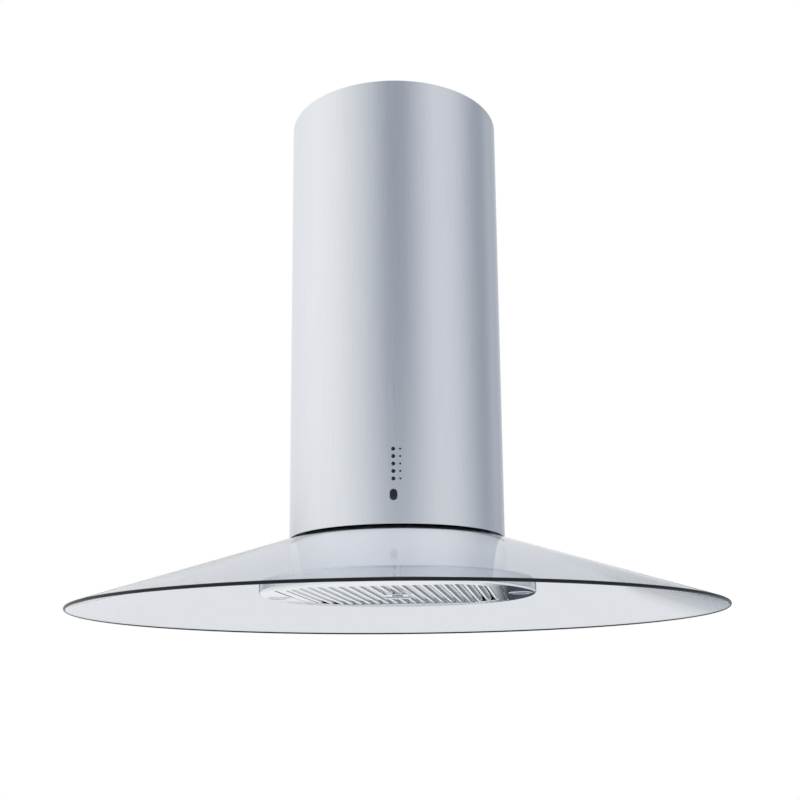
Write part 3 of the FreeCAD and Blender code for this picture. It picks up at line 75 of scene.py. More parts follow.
# materials
def newMaterial(name, hexColour, metallic, roughness):
    material = bpy.data.materials.new(name)
    material.use_nodes = True
    tree = material.node_tree
    shader = tree.nodes["Principled BSDF"]
    shader.inputs["Base Color"].default_value = linear(hexColour)
    shader.inputs["Metallic"].default_value = metallic
    shader.inputs["Roughness"].default_value = roughness
    place = addNode(tree, "ShaderNodeTexCoord").outputs["Object"]
    return material, tree, shader, place


# a pattern's value moves the tone, the roughness and the relief of a surface a little
def wearIn(tree, shader, pattern, dark, light, smooth, rough, relief):
    tone = addNode(tree, "ShaderNodeMix", {"Factor": pattern, "A": linear(dark), "B": linear(light)},
                   data_type="RGBA")
    tree.links.new(next(s for s in tone.outputs if s.enabled), shader.inputs["Base Color"])
    gloss = addNode(tree, "ShaderNodeMapRange", {"Value": pattern, "To Min": smooth, "To Max": rough})
    tree.links.new(gloss.outputs["Result"], shader.inputs["Roughness"])
    bump = addNode(tree, "ShaderNodeBump", {"Height": pattern, "Strength": relief, "Distance": 0.1 * mm})
    tree.links.new(bump.outputs["Normal"], shader.inputs["Normal"])


# brushed stainless sheet: fine parallel scratches, a soft grey mirror that smears across the grain.
# The scratches are about 0.1 mm; they are drawn 1.3 mm wide so that the render shows them.
def brushedSheet(name, streak, dark, light, smooth, rough):
    material, tree, shader, place = newMaterial(name, light, 1.0, rough)
    stretched = addNode(tree, "ShaderNodeMapping", {"Vector": place, "Scale": [1 / (s * mm) for s in streak]})
    grain = addNode(tree, "ShaderNodeTexNoise", {"Vector": stretched, "Scale": 1.0, "Detail": 3.0,
                                                 "Roughness": 0.6})
    wearIn(tree, shader, grain.outputs["Fac"], dark, light, smooth, rough, 0.05)
    return material


# stainless sheet turned on a lathe: the same scratches run round the axis
def turnedSheet(name, pitch, dark, light, smooth, rough):
    material, tree, shader, place = newMaterial(name, light, 1.0, rough)
    axes = addNode(tree, "ShaderNodeSeparateXYZ", {"Vector": place})
    flat = addNode(tree, "ShaderNodeCombineXYZ", {"X": axes.outputs["X"], "Y": axes.outputs["Y"]})
    reach = addNode(tree, "ShaderNodeVectorMath", {0: flat}, operation="LENGTH")
    rings = addNode(tree, "ShaderNodeCombineXYZ", {"X": reach.outputs["Value"], "Z": axes.outputs["Z"]})
    grain = addNode(tree, "ShaderNodeTexNoise", {"Vector": rings, "Scale": 1 / (pitch * mm), "Detail": 3.0,
                                                 "Roughness": 0.6})
    wearIn(tree, shader, grain.outputs["Fac"], dark, light, smooth, rough, 0.04)
    return material


# moulded, cast and plated surfaces: an even skin with a cloudy grain of the given size in mm
def cloudySkin(name, metallic, grainSize, dark, light, smooth, rough, relief):
    material, tree, shader, place = newMaterial(name, light, metallic, rough)
    grain = addNode(tree, "ShaderNodeTexNoise", {"Vector": place, "Scale": 1 / (grainSize * mm),
                                                 "Detail": 4.0, "Roughness": 0.55})
    wearIn(tree, shader, grain.outputs["Fac"], dark, light, smooth, rough, relief)
    return material


chimneySteel = brushedSheet("brushedStainlessChimney", (1.3, 1.3, 70), "#dfe2e6", "#eef0f3", 0.25, 0.33)
traySteel = turnedSheet("polishedStainlessTray", 1.6, "#dcdfe2", "#eceef0", 0.05, 0.09)
slatSteel = brushedSheet("brushedStainlessSlats", (1.3, 60, 1.3), "#e8eaec", "#f6f7f8", 0.17, 0.23)
knobSteel = cloudySkin("satinStainlessKnob", 1.0, 3, "#c2c5c9", "#dadcdf", 0.22, 0.3, 0.03)
# the body's stainless, painted light: a pale, even, nearly matt copy of the steel that stands in for the
# bright light on the body; it scatters light so widely that hardly any mirror is left
paleBodySteelPaintedLight = cloudySkin("bodyStainlessPaintedLight", 0.2, 1.0, "#f4f4f5", "#fbfbfb", 0.5, 0.6, 0.05)
# the tray's outer wall, painted light: a lighter, partly matt copy of the tray's polished steel, so that a
# mirror lies over an even pale grey that stands in for light on the wall
trayWallPaintedLight = cloudySkin("trayWallSteelPaintedLight", 0.72, 1.0, "#e2e4e7", "#eef0f2", 0.06, 0.1, 0.02)
# sealing rubber: dull, slightly chalky black
blackRubber = cloudySkin("sealRubber", 0.0, 1.5, "#141415", "#1e1e20", 0.55, 0.7, 0.2)
# sand-cast aluminium: matt silver with a coarse skin
castAluminium = cloudySkin("castAluminium", 1.0, 1.2, "#b4b7ba", "#cbcdd0", 0.4, 0.52, 0.35)
# zinc plate on steel screws: thin bright skin with a faint warm cast
zincPlate = cloudySkin("zincPlate", 1.0, 2, "#bdbbb2", "#d2d0c7", 0.24, 0.36, 0.05)
# polished chrome trim: a clear mirror with hardly any haze
chromeTrim = cloudySkin("polishedChrome", 1.0, 6, "#d5d8db", "#e4e6e8", 0.06, 0.12, 0.01)
# button caps in ABS: satin black with a fine spark-eroded grain
blackAbs = cloudySkin("absButtonBlack", 0.0, 0.5, "#08080a", "#111114", 0.3, 0.42, 0.08)
# housings in glass-filled nylon: dull black with a coarse grain
blackNylon = cloudySkin("nylonHousingBlack", 0.0, 1.0, "#151618", "#202225", 0.5, 0.62, 0.25)
# impeller and flaps in polypropylene: waxy mid grey
greyPlastic = cloudySkin("polypropyleneGrey", 0.0, 4, "#868b90", "#979ca1", 0.38, 0.48, 0.05)
# stove-enamelled motor: smooth black paint with a slight orange peel
blackPaint = cloudySkin("stoveEnamelBlack", 0.0, 2.5, "#101113", "#191b1d", 0.22, 0.32, 0.2)
# deep-drawn aluminium can: soft bright skin with draw marks along its height
canAluminium = brushedSheet("drawnAluminiumCan", (1.5, 1.5, 40), "#c3c6c9", "#d6d9dc", 0.28, 0.38)

# smoked acrylic: nearly black, polished, with a sharp highlight
smokedAcrylic = cloudySkin("smokedAcrylic", 0.0, 5, "#141519", "#1c1d22", 0.03, 0.07, 0.01)
smokedAcrylic.node_tree.nodes["Principled BSDF"].inputs["IOR"].default_value = 1.49

# hot-dip galvanised sheet: zinc crystals about 9 mm across, each a slightly different grey
galvanised, tree, shader, place = newMaterial("galvanisedSheet", "#b9bec2", 1.0, 0.42)
crystals = addNode(tree, "ShaderNodeTexVoronoi", {"Vector": place, "Scale": 1 / (9 * mm)})
spangle = addNode(tree, "ShaderNodeSeparateColor", {"Color": crystals.outputs["Color"]})
wearIn(tree, shader, spangle.outputs["Red"], "#a4aaae", "#c3c8cc", 0.34, 0.5, 0.02)

# acrylic lens, frosted inside and polished outside: unlit grey-white, with fine prisms 1.4 mm apart
frostedLens, tree, shader, place = newMaterial("frostedAcrylicLens", "#9aa0a6", 0.0, 0.1)
prisms = addNode(tree, "ShaderNodeTexVoronoi", {"Vector": place, "Scale": 1 / (1.4 * mm)})
wearIn(tree, shader, prisms.outputs["Distance"], "#a2a8ae", "#8d9399", 0.06, 0.12, 0.02)

# glass-epoxy circuit board: green lacquer over copper tracks 2 mm apart
boardGreen, tree, shader, place = newMaterial("lacqueredCircuitBoard", "#1c5a36", 0.0, 0.35)
tracks = addNode(tree, "ShaderNodeTexWave", {"Vector": place, "Scale": 0.31 / (2 * mm), "Distortion": 2.0,
                                             "Detail": 1.0}, wave_type="BANDS", bands_direction="Z")
wearIn(tree, shader, tracks.outputs["Fac"], "#174a2d", "#2b7548", 0.3, 0.42, 0.1)

# toughened float glass: clear with a breath of blue-grey in its depth, polished faces
clearGlass, tree, shader, place = newMaterial("toughenedFloatGlass", "#dee1e6", 0.0, 0.0)
shader.inputs["Transmission Weight"].default_value = 1.0
shader.inputs["IOR"].default_value = 1.08
film = addNode(tree, "ShaderNodeTexNoise", {"Vector": place, "Scale": 1 / (60 * mm), "Detail": 2.0})
haze = addNode(tree, "ShaderNodeMapRange", {"Value": film.outputs["Fac"], "To Min": 0.0, "To Max": 0.012})
tree.links.new(haze.outputs["Result"], shader.inputs["Roughness"])

# ground and polished edge of that glass: light is caught along the sheet, so the edge looks almost black
glassEdge = cloudySkin("polishedGlassEdge", 0.0, 8, "#0b0d0f", "#14181a", 0.3, 0.4, 0.02)
glassEdge.node_tree.nodes["Principled BSDF"].inputs["Specular IOR Level"].default_value = 0.2
print("materials:", len(bpy.data.materials))


# node trees
def newTree(name, sizes):
    tree = bpy.data.node_groups.new(name, "GeometryNodeTree")
    tree.is_modifier = True
    tree.interface.new_socket("Geometry", in_out="INPUT", socket_type="NodeSocketGeometry")
    for label, kind in sizes:
        tree.interface.new_socket(label, in_out="INPUT", socket_type="NodeSocket" + kind)
    tree.interface.new_socket("Geometry", in_out="OUTPUT", socket_type="NodeSocketGeometry")
    return tree, addNode(tree, "NodeGroupInput").outputs


# every tree ends alike: real geometry, then its material
def endTree(tree, shape, finish):
    solid = addNode(tree, "GeometryNodeRealizeInstances", {"Geometry": shape})
    smooth = addNode(tree, "GeometryNodeSetShadeSmooth", {"Geometry": solid})
    dressed = addNode(tree, "GeometryNodeSetMaterial", {"Geometry": smooth, "Material": finish})
    addNode(tree, "NodeGroupOutput", {"Geometry": dressed})


# lathe: a closed outline in the XZ plane is turned round Z; each corner has its own rounding
latheTree, given = newTree("latheOutline", [("Segments", "Int"), ("Corner steps", "Int"),
                                            ("Finish", "Material")])
corner = addNode(latheTree, "GeometryNodeInputNamedAttribute", {"Name": "rounding"}, data_type="FLOAT")
line = addNode(latheTree, "GeometryNodeMeshToCurve", {"Mesh": given["Geometry"]})
line = addNode(latheTree, "GeometryNodeFilletCurve", {"Curve": line, "Radius": corner.outputs[0],
                                                      "Count": given["Corner steps"],
                                                      "Limit Radius": True}, mode="POLY")
wire = addNode(latheTree, "GeometryNodeCurveToMesh", {"Curve": line})
points = addNode(latheTree, "GeometryNodeAttributeDomainSize", {"Geometry": wire},
                 component="MESH").outputs["Point Count"]
rows = addNode(latheTree, "FunctionNodeIntegerMath", {0: points, 1: 1}, operation="ADD")
columns = addNode(latheTree, "FunctionNodeIntegerMath", {0: given["Segments"], 1: 1}, operation="ADD")
grid = addNode(latheTree, "GeometryNodeMeshGrid", {"Vertices X": rows, "Vertices Y": columns})
number = addNode(latheTree, "GeometryNodeInputIndex")
row = addNode(latheTree, "FunctionNodeIntegerMath", {0: number, 1: columns}, operation="DIVIDE_FLOOR")
row = addNode(latheTree, "FunctionNodeIntegerMath", {0: row, 1: points}, operation="MODULO")
column = addNode(latheTree, "FunctionNodeIntegerMath", {0: number, 1: columns}, operation="MODULO")
place = addNode(latheTree, "GeometryNodeInputPosition")
spot = addNode(latheTree, "GeometryNodeSampleIndex", {"Geometry": wire, "Value": place, "Index": row},
               data_type="FLOAT_VECTOR", domain="POINT")
turn = addNode(latheTree, "ShaderNodeMath", {0: column, 1: given["Segments"]}, operation="DIVIDE")
turn = addNode(latheTree, "ShaderNodeMath", {0: turn, 1: math.tau}, operation="MULTIPLY")
spot = addNode(latheTree, "ShaderNodeVectorRotate", {"Vector": spot, "Angle": turn}, rotation_type="Z_AXIS")
turned = addNode(latheTree, "GeometryNodeSetPosition", {"Geometry": grid.outputs["Mesh"], "Position": spot})
turned = addNode(latheTree, "GeometryNodeMergeByDistance", {"Geometry": turned, "Distance": 0.005 * mm})
endTree(latheTree, turned, given["Finish"])

# row: copies of one piece on a straight line, centred on it
rowTree, given = newTree("rowOfCopies", [("Count", "Int"), ("Step", "Vector"), ("Finish", "Material")])
gaps = addNode(rowTree, "ShaderNodeMath", {0: given["Count"], 1: 1.0}, operation="SUBTRACT")
half = addNode(rowTree, "ShaderNodeMath", {0: gaps, 1: -0.5}, operation="MULTIPLY")
first = addNode(rowTree, "ShaderNodeVectorMath", {0: given["Step"], "Scale": half}, operation="SCALE")
spots = addNode(rowTree, "GeometryNodeMeshLine", {"Count": given["Count"], "Start Location": first,
                                                  "Offset": given["Step"]}, mode="OFFSET")
copies = addNode(rowTree, "GeometryNodeInstanceOnPoints", {"Points": spots, "Instance": given["Geometry"]})
endTree(rowTree, copies, given["Finish"])

# ring: copies of one piece round Z, each turned with its place
ringTree, given = newTree("ringOfCopies", [("Count", "Int"), ("Radius", "Float"), ("First angle", "Float"),
                                           ("Step angle", "Float"), ("Height", "Float"),
                                           ("Finish", "Material")])
spots = addNode(ringTree, "GeometryNodeMeshLine", {"Count": given["Count"]}, mode="OFFSET")
number = addNode(ringTree, "GeometryNodeInputIndex")
turn = addNode(ringTree, "ShaderNodeMath", {0: number, 1: given["Step angle"], 2: given["First angle"]},
               operation="MULTIPLY_ADD")
arm = addNode(ringTree, "ShaderNodeCombineXYZ", {"X": given["Radius"], "Z": given["Height"]})
spot = addNode(ringTree, "ShaderNodeVectorRotate", {"Vector": arm, "Angle": turn}, rotation_type="Z_AXIS")
spots = addNode(ringTree, "GeometryNodeSetPosition", {"Geometry": spots, "Position": spot})
facing = addNode(ringTree, "ShaderNodeCombineXYZ", {"Z": turn})
copies = addNode(ringTree, "GeometryNodeInstanceOnPoints", {"Points": spots, "Instance": given["Geometry"],
                                                            "Rotation": facing})
endTree(ringTree, copies, given["Finish"])
print("node trees:", len(bpy.data.node_groups))


# mesh helpers
def newObject(name, data):
    made = bpy.data.objects.new(name, data)
    scene.collection.objects.link(made)
    return made


# the evaluated object becomes a plain mesh on the same object, in one finish, with no modifier left
def bake(piece):
    graph = bpy.context.evaluated_depsgraph_get()
    mesh = bpy.data.meshes.new_from_object(piece.evaluated_get(graph), depsgraph=graph)
    finish = next(m for m in mesh.materials if m)
    mesh.materials.clear()
    mesh.materials.append(finish)
    mesh.polygons.foreach_set("material_index", [0] * len(mesh.polygons))
    piece.modifiers.clear()
    piece.data = mesh


def runTree(tree, piece, sizes):
    change = piece.modifiers.new(tree.name, "NODES")
    change.node_group = tree
    for socket in tree.interface.items_tree:
        if socket.in_out == "INPUT" and socket.name in sizes:
            change[socket.identifier] = sizes[socket.name]
    bake(piece)


# doubles merged, stray edges gone, faces outwards, crisp edges past the angle, large faces kept flat
def finishMesh(piece, angle=32):
    shape = bmesh.new()
    shape.from_mesh(piece.data)
    bmesh.ops.remove_doubles(shape, verts=shape.verts, dist=0.002 * mm)
    bmesh.ops.delete(shape, geom=[e for e in shape.edges if not e.link_faces], context="EDGES")
    bmesh.ops.recalc_face_normals(shape, faces=shape.faces)
    shape.to_mesh(piece.data)
    shape.free()
    piece.data.shade_smooth()
    piece.data.set_sharp_from_angle(angle=math.radians(angle))
    even = piece.modifiers.new("even", "WEIGHTED_NORMAL")
    even.keep_sharp = True
    bake(piece)


# outline: (radius, height, rounding) in mm, turned round Z
def lathe(name, outline, finish, segments=160, steps=5):
    mesh = bpy.data.meshes.new(name)
    count = len(outline)
    mesh.from_pydata([(r * mm, 0, z * mm) for r, z, _ in outline],
                     [(i, (i + 1) % count) for i in range(count)], [])
    rounding = mesh.attributes.new("rounding", "FLOAT", "POINT")
    rounding.data.foreach_set("value", [c * mm for _, _, c in outline])
    piece = newObject(name, mesh)
    runTree(latheTree, piece, {"Segments": segments, "Corner steps": steps, "Finish": finish})
    finishMesh(piece)
    return piece


# rounded-end slot outline, long side along its second axis
def slotOutline(width, straight, steps=14):
    reach, outline = width / 2, []
    for end, start in ((straight / 2, 0.0), (-straight / 2, math.pi)):
        for i in range(steps + 1):
            angle = start + math.pi * i / steps
            outline.append((reach * math.cos(angle), end + reach * math.sin(angle)))
    return outline


# loops of equal length are joined in order; the last meets the first, or else both ends are closed
def loft(name, loops, finish, endless=False):
    shape = bmesh.new()
    rings = [[shape.verts.new([c * mm for c in point]) for point in loop] for loop in loops]
    for low, high in zip(rings, rings[1:] + rings[:1] if endless else rings[1:]):
        for i in range(len(low)):
            j = (i + 1) % len(low)
            shape.faces.new((low[i], low[j], high[j], high[i]))
    if not endless:
        shape.faces.new(rings[0][::-1])
        shape.faces.new(rings[-1])
    mesh = bpy.data.meshes.new(name)
    shape.to_mesh(mesh)
    shape.free()
    mesh.materials.append(finish)
    piece = newObject(name, mesh)
    finishMesh(piece)
    return piece


# an upright block of one outline, to cut with
def blockCutter(outline, low, high, finish):
    return loft("cutter", [[(x, y, z) for x, y in outline] for z in (low, high)], finish)


# round cutters in one mesh: (diameter, length, matrix)
def roundCutters(rods):
    shape = bmesh.new()
    for diameter, length, matrix in rods:
        bmesh.ops.create_cone(shape, cap_ends=True, segments=40, radius1=diameter * mm / 2,
                              radius2=diameter * mm / 2, depth=length * mm, matrix=matrix)
    mesh = bpy.data.meshes.new("cutter")
    shape.to_mesh(mesh)
    shape.free()
    return newObject("cutter", mesh)


def cutWith(piece, cutter, operation="DIFFERENCE"):
    change = piece.modifiers.new("cut", "BOOLEAN")
    change.operation = operation
    change.solver = "EXACT"
    change.object = cutter
    bake(piece)
    bpy.data.objects.remove(cutter)


# walls turned round Z keep their true curve after holes are cut in them
def turnedNormals(mesh):
    normals = [None] * len(mesh.loops)
    for face in mesh.polygons:
        out = Vector((face.center.x, face.center.y, 0)).normalized()
        side = Vector((-out.y, out.x, 0))
        onWall = abs(face.normal.dot(side)) < 0.03
        for corner in face.loop_indices:
            spot = mesh.vertices[mesh.loops[corner].vertex_index].co
            here = Vector((spot.x, spot.y, 0)).normalized()
            normals[corner] = (here * face.normal.dot(out) + Vector((0, 0, face.normal.z)) if onWall
                               else face.normal).normalized()
    mesh.shade_smooth()
    mesh.normals_split_custom_set(normals)


def hold(piece, body, slot, *nodes):
    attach(piece, body)
    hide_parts(*nodes)


# chimney
chimney = {"radius": 152.5, "wall": 1.2, "hem": 0.5, "topHem": 0.3, "boreHem": 0.2, "middle": 152.0,
           "foot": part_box("chimney")[0].z / mm, "segments": 256, "screwTurns": (15, 90, 165),
           "screwLevel": -15.0, "screwHole": 4.24, "cutDepth": 12.0}
controls = {"button": 5.3, "light": 2.84, "lightAside": 9.0, "pitch": 9.9, "count": 5, "lowest": 59.0,
            "windowWidth": 10.1, "windowStraight": 5.0, "windowHeight": 38.0, "windowCut": (-160, -145)}
buttonLevels = [chimney["foot"] + controls["lowest"] + i * controls["pitch"]
                for i in range(controls["count"])]
bore = chimney["radius"] - chimney["wall"]
tube = lathe("chimneyTube", [(bore, chimney["foot"], chimney["boreHem"]),
                             (chimney["radius"], chimney["foot"], chimney["hem"]),
                             (chimney["radius"], 0, chimney["topHem"]), (bore, 0, chimney["boreHem"])],
             chimneySteel, chimney["segments"], 4)
screwTurns = [math.radians(a) for a in chimney["screwTurns"]]
frontWay, sideWay = (Matrix.Rotation(math.radians(90), 4, axis) for axis in "XY")
rods = []
for level in buttonLevels:
    for across, size in ((0, controls["button"]), (controls["lightAside"], controls["light"])):
        centre = Vector((across, -chimney["middle"], level)) * mm
        rods.append((size, chimney["cutDepth"], Matrix.Translation(centre) @ frontWay))
for angle in screwTurns:
    centre = Vector((math.cos(angle), math.sin(angle), 0)) * chimney["middle"]
    centre.z = chimney["screwLevel"]
    rods.append((chimney["screwHole"], chimney["cutDepth"], Matrix.Translation(centre * mm)
                 @ Matrix.Rotation(angle, 4, "Z") @ sideWay))
cutWith(tube, roundCutters(rods))
middle = chimney["foot"] + controls["windowHeight"]
slot = slotOutline(controls["windowWidth"], controls["windowStraight"])
cutWith(tube, loft("cutter", [[(x, y, middle + z) for x, z in slot] for y in controls["windowCut"]],
                   chimneySteel))
finishMesh(tube)
turnedNormals(tube.data)
hold(tube, "hood", "brushed_stainless", "chimney")
print("chimney:", len(tube.data.polygons), "faces")


# glass canopy, its gaskets and the body under it
canopy = {"radius": 450.0, "slope": 18.5, "thickness": 4.0, "hole": 120.0, "holeEdge": 0.4, "rim": -730.0,
          "edge": 1.9, "edgeBand": 8.0, "edgeTurn": 0.12, "gasket": 2.0, "segments": 320}
slope = math.radians(canopy["slope"])
rimFoot = canopy["radius"] - canopy["thickness"] * math.sin(slope)
holeTop = canopy["hole"] + canopy["thickness"] * math.sin(slope)


def glassUnder(radius):
    return canopy["rim"] + (rimFoot - radius) * math.tan(slope)


def glassOver(radius):
    return glassUnder(radius) + canopy["thickness"] / math.cos(slope)


cone = lathe("glassCone", [(rimFoot, canopy["rim"], canopy["edge"]),
                           (canopy["radius"], glassOver(canopy["radius"]), canopy["edge"]),
                           (holeTop, glassOver(holeTop), canopy["holeEdge"]),
                           (canopy["hole"], glassUnder(canopy["hole"]), canopy["holeEdge"])],
             clearGlass, canopy["segments"], 5)
turnedNormals(cone.data)
cone.data.materials.append(glassEdge)
# the rim takes the edge finish wherever it turns away from the two large faces
for face in cone.data.polygons:
    outward = Vector((face.center.x, face.center.y, 0)).normalized() * math.cos(slope)
    onEdge = face.normal.dot(outward - Vector((0, 0, math.sin(slope)))) > canopy["edgeTurn"]
    if onEdge and face.center.xy.length > (canopy["radius"] - canopy["edgeBand"]) * mm:
        face.material_index = 1
cone.visible_shadow = False  # clear glass lets the lamps through to what is under it
hold(cone, "hood", "clear_glass", "glass_canopy")

seals = {"margin": 1.5, "lowerReach": 150.0, "upperReach": 134.5, "edge": 0.3}
gasket = canopy["gasket"]


# a flat rubber ring that follows one face of the glass, with its foot lowered by the drop
def sealRing(name, surface, inner, outer, drop):
    corners = ((inner, -drop), (outer, -drop), (outer, gasket - drop), (inner, gasket - drop))
    return lathe(name, [(r, surface(r) + rise, seals["edge"]) for r, rise in corners], blackRubber)


lowerSeal = sealRing("lowerSeal", glassUnder, canopy["hole"] + seals["margin"], seals["lowerReach"], gasket)
hold(lowerSeal, "hood", "black_rubber", "glass_lower_gasket")
upperSeal = sealRing("upperSeal", glassOver, holeTop + seals["margin"], seals["upperReach"], 0.0)
hold(upperSeal, "hood", "black_rubber", "glass_upper_gasket")

bodyShell = {"radius": 152.5, "wall": 1.2, "foot": -684.0, "flange": 17.0, "seat": 104.0, "edge": 0.6,
             "cut": 0.2, "segments": 224}
outside, inside = bodyShell["radius"], bodyShell["radius"] - bodyShell["wall"]
flangeEdge, flangeTop = outside - bodyShell["flange"], bodyShell["foot"] + bodyShell["wall"]
seat, seatWall = bodyShell["seat"], bodyShell["wall"] / math.cos(slope)
edge, cut = bodyShell["edge"], bodyShell["cut"]
# the body shell wears the pale painted-light copy of the steel
shell = lathe("bodyShell", [(flangeEdge, bodyShell["foot"], cut), (outside, bodyShell["foot"], edge),
                            (outside, glassUnder(outside) - gasket, edge),
                            (seat, glassUnder(seat) - gasket, cut),
                            (seat, glassUnder(seat) - gasket - seatWall, cut),
                            (inside, glassUnder(inside) - gasket - seatWall, cut),
                            (inside, flangeTop, cut), (flangeEdge, flangeTop, cut)],
              paleBodySteelPaintedLight, bodyShell["segments"])
hold(shell, "hood", "brushed_stainless", "hood_body")
print("glass, seals and body made")


# tray and lamps
tray = {"radius": 194.0, "foot": -702.0, "height": 18.0, "sheet": 1.2, "end": 43.0, "border": 11.0,
        "topOpening": 124.0, "edge": 3.5, "cut": 0.2, "cutDepth": 6.0, "wallBand": 1.5, "turn": -7.0,
        "segments": 256}
lamps = {"count": 2, "reach": 172.5, "hole": 28.0, "flange": 16.5, "proud": 0.7, "neck": 13.7, "bore": 12.5,
         "deep": 6.0, "lens": 12.45, "lensFlat": 9.0, "lensProud": 0.3, "lensRim": 0.1, "lensTop": 1.3}
filterTurn = math.radians(tray["turn"])


# a square, by half its side, with its corners cut to a circle, turned with the filter
def panelOutline(side, corner, steps=10):
    swing, outline = math.acos(side / corner), []
    for quarter in range(4):
        for i in range(steps + 1):
            angle = filterTurn + quarter * math.pi / 2 + swing + (math.pi / 2 - 2 * swing) * i / steps
            outline.append((corner * math.cos(angle), corner * math.sin(angle)))
    return outline


foot, top, sheet = tray["foot"], tray["foot"] + tray["height"], tray["sheet"]
inner, edge, cut = tray["radius"] - sheet, tray["edge"], tray["cut"]
trough = lathe("filterTray", [(0, foot, 0), (tray["radius"], foot, edge), (tray["radius"], top, edge),
                              (tray["topOpening"], top, cut), (tray["topOpening"], top - sheet, cut),
                              (inner, top - sheet, edge - sheet), (inner, foot + sheet, edge - sheet),
                              (0, foot + sheet, 0)], traySteel, tray["segments"], 6)
openingSide, openingCorner = tray["radius"] - tray["end"], tray["radius"] - tray["border"]
depth = tray["cutDepth"]
cutWith(trough, blockCutter(panelOutline(openingSide, openingCorner), foot - depth / 2, foot + depth / 2,
                            traySteel))
lampTurns = [filterTurn + math.tau * i / lamps["count"] for i in range(lamps["count"])]
lampPlaces = [Vector((lamps["reach"] * math.cos(a), lamps["reach"] * math.sin(a), foot)) for a in lampTurns]
cutWith(trough, roundCutters([(lamps["hole"], depth, Matrix.Translation(spot * mm)) for spot in lampPlaces]))
finishMesh(trough)
turnedNormals(trough.data)
trough.data.materials.append(trayWallPaintedLight)
# the wall above its rolled lower edge takes the lighter painted-light copy of the steel
for face in trough.data.polygons:
    onWall = face.center.xy.length > (tray["radius"] - tray["wallBand"]) * mm
    if onWall and face.center.z > (foot + edge) * mm:
        face.material_index = 1
hold(trough, "hood", "brushed_stainless", "filter_tray")

ringSizes = {"Count": lamps["count"], "Radius": lamps["reach"] * mm, "First angle": lampTurns[0],
             "Step angle": math.tau / lamps["count"], "Height": foot * mm}
bezels = lathe("lampBezels", [(lamps["bore"], -lamps["proud"], 0.3), (lamps["flange"], -lamps["proud"], 0.5),
                              (lamps["flange"], 0, 0.1), (lamps["neck"], 0, 0.1),
                              (lamps["neck"], lamps["deep"], 0.2), (lamps["bore"], lamps["deep"], 0.2)],
               chromeTrim, 64)
runTree(ringTree, bezels, dict(ringSizes, Finish=chromeTrim))
finishMesh(bezels)
hold(bezels, "hood", "polished_bezel", "lamp_bezels")
lenses = lathe("lampLenses", [(0, -lamps["lensProud"], 0), (lamps["lensFlat"], -lamps["lensProud"], 4),
                              (lamps["lens"], -lamps["lensRim"], 0.3), (lamps["lens"], lamps["lensTop"], 0.3),
                              (0, lamps["lensTop"], 0)], frostedLens, 48)
runTree(ringTree, lenses, dict(ringSizes, Finish=frostedLens))
finishMesh(lenses)
hold(lenses, "hood", "frosted_lens", "lamp_lenses")
print("tray and lamps made")


# grease filter
filterSizes = {"room": 1.2, "height": 12.0, "sheet": 1.0, "lip": 13.0, "fold": 1.4, "count": 20, "slot": 4.55,
               "crown": 1.8, "flare": 1.0, "tall": 4.4, "thick": 0.8, "endGap": 0.2, "bore": 18.6,
               "cutDepth": 40.0}
side, corner = openingSide - filterSizes["room"], openingCorner - filterSizes["room"]
rimTop, fold, lip = foot + filterSizes["height"], filterSizes["fold"], filterSizes["lip"]
inside = filterSizes["sheet"]
# the folded frame: how far in from its outside and how high, once round its section
folds = [fold * (1 - math.sin(math.radians(90 * i / 4))) for i in range(5)]
section = [(lip, foot)] + [(folds[i], foot + folds[4 - i]) for i in range(5)]
section += [(folds[4 - i], rimTop - folds[i]) for i in range(5)] + [(lip, rimTop), (lip, rimTop - inside)]
section += [(inside, rimTop - inside), (inside, foot + inside), (lip, foot + inside)]
filterRim = loft("filterRim", [[(x, y, z) for x, y in panelOutline(side - inset, corner - inset)]
                               for inset, z in section], traySteel, endless=True)
hold(filterRim, "grease_filter", "brushed_stainless", "filter_frame")

# one pressed channel: a crowned face below and two flared legs above it
pitch = 2 * (side - filterSizes["sheet"]) / (filterSizes["count"] + 1)
halfFace, face = (pitch - filterSizes["slot"]) / 2, foot + filterSizes["sheet"]
tip, thick, crown = face + filterSizes["tall"], filterSizes["thick"], filterSizes["crown"]
legTip = halfFace + filterSizes["flare"]
arc = [-1 + i / 5 for i in range(11)]
section = [(halfFace * t, face + crown * t * t) for t in arc] + [(legTip, tip), (legTip - thick, tip)]
section += [((halfFace - thick) * t, face + thick + crown * t * t) for t in arc[::-1]]
section += [(thick - legTip, tip), (-legTip, tip)]
slats = loft("filterSlats", [[(x, y, z) for x, z in section] for y in (-side, side)], slatSteel)
runTree(rowTree, slats, {"Count": filterSizes["count"], "Step": (pitch * mm, 0, 0), "Finish": slatSteel})
slats.data.transform(Matrix.Rotation(filterTurn, 4, "Z"))
inset = filterSizes["sheet"] + filterSizes["endGap"]
depth = filterSizes["cutDepth"]
inFrame = panelOutline(side - inset, corner - inset)
cutWith(slats, blockCutter(inFrame, foot - depth / 2, foot + depth / 2, slatSteel), "INTERSECT")
cutWith(slats, roundCutters([(filterSizes["bore"], depth, Matrix.Translation((0, 0, foot * mm)))]))
finishMesh(slats)
hold(slats, "grease_filter", "brushed_stainless", "lower_baffles")

hubSizes = {"bore": 4.25, "bush": 9.0, "washer": 17.0, "proud": 0.2, "washerTop": 1.0}
hubFoot, washerTop = foot - hubSizes["proud"], foot + hubSizes["washerTop"]
hub = lathe("filterHub", [(hubSizes["bore"], hubFoot, 0.2), (hubSizes["washer"], hubFoot, 0.5),
                          (hubSizes["washer"], washerTop, 0.2), (hubSizes["bush"], washerTop, 0.2),
                          (hubSizes["bush"], rimTop, 0.3), (hubSizes["bore"], rimTop, 0.2)], traySteel, 72)
hold(hub, "grease_filter", "brushed_stainless", "filter_hub")

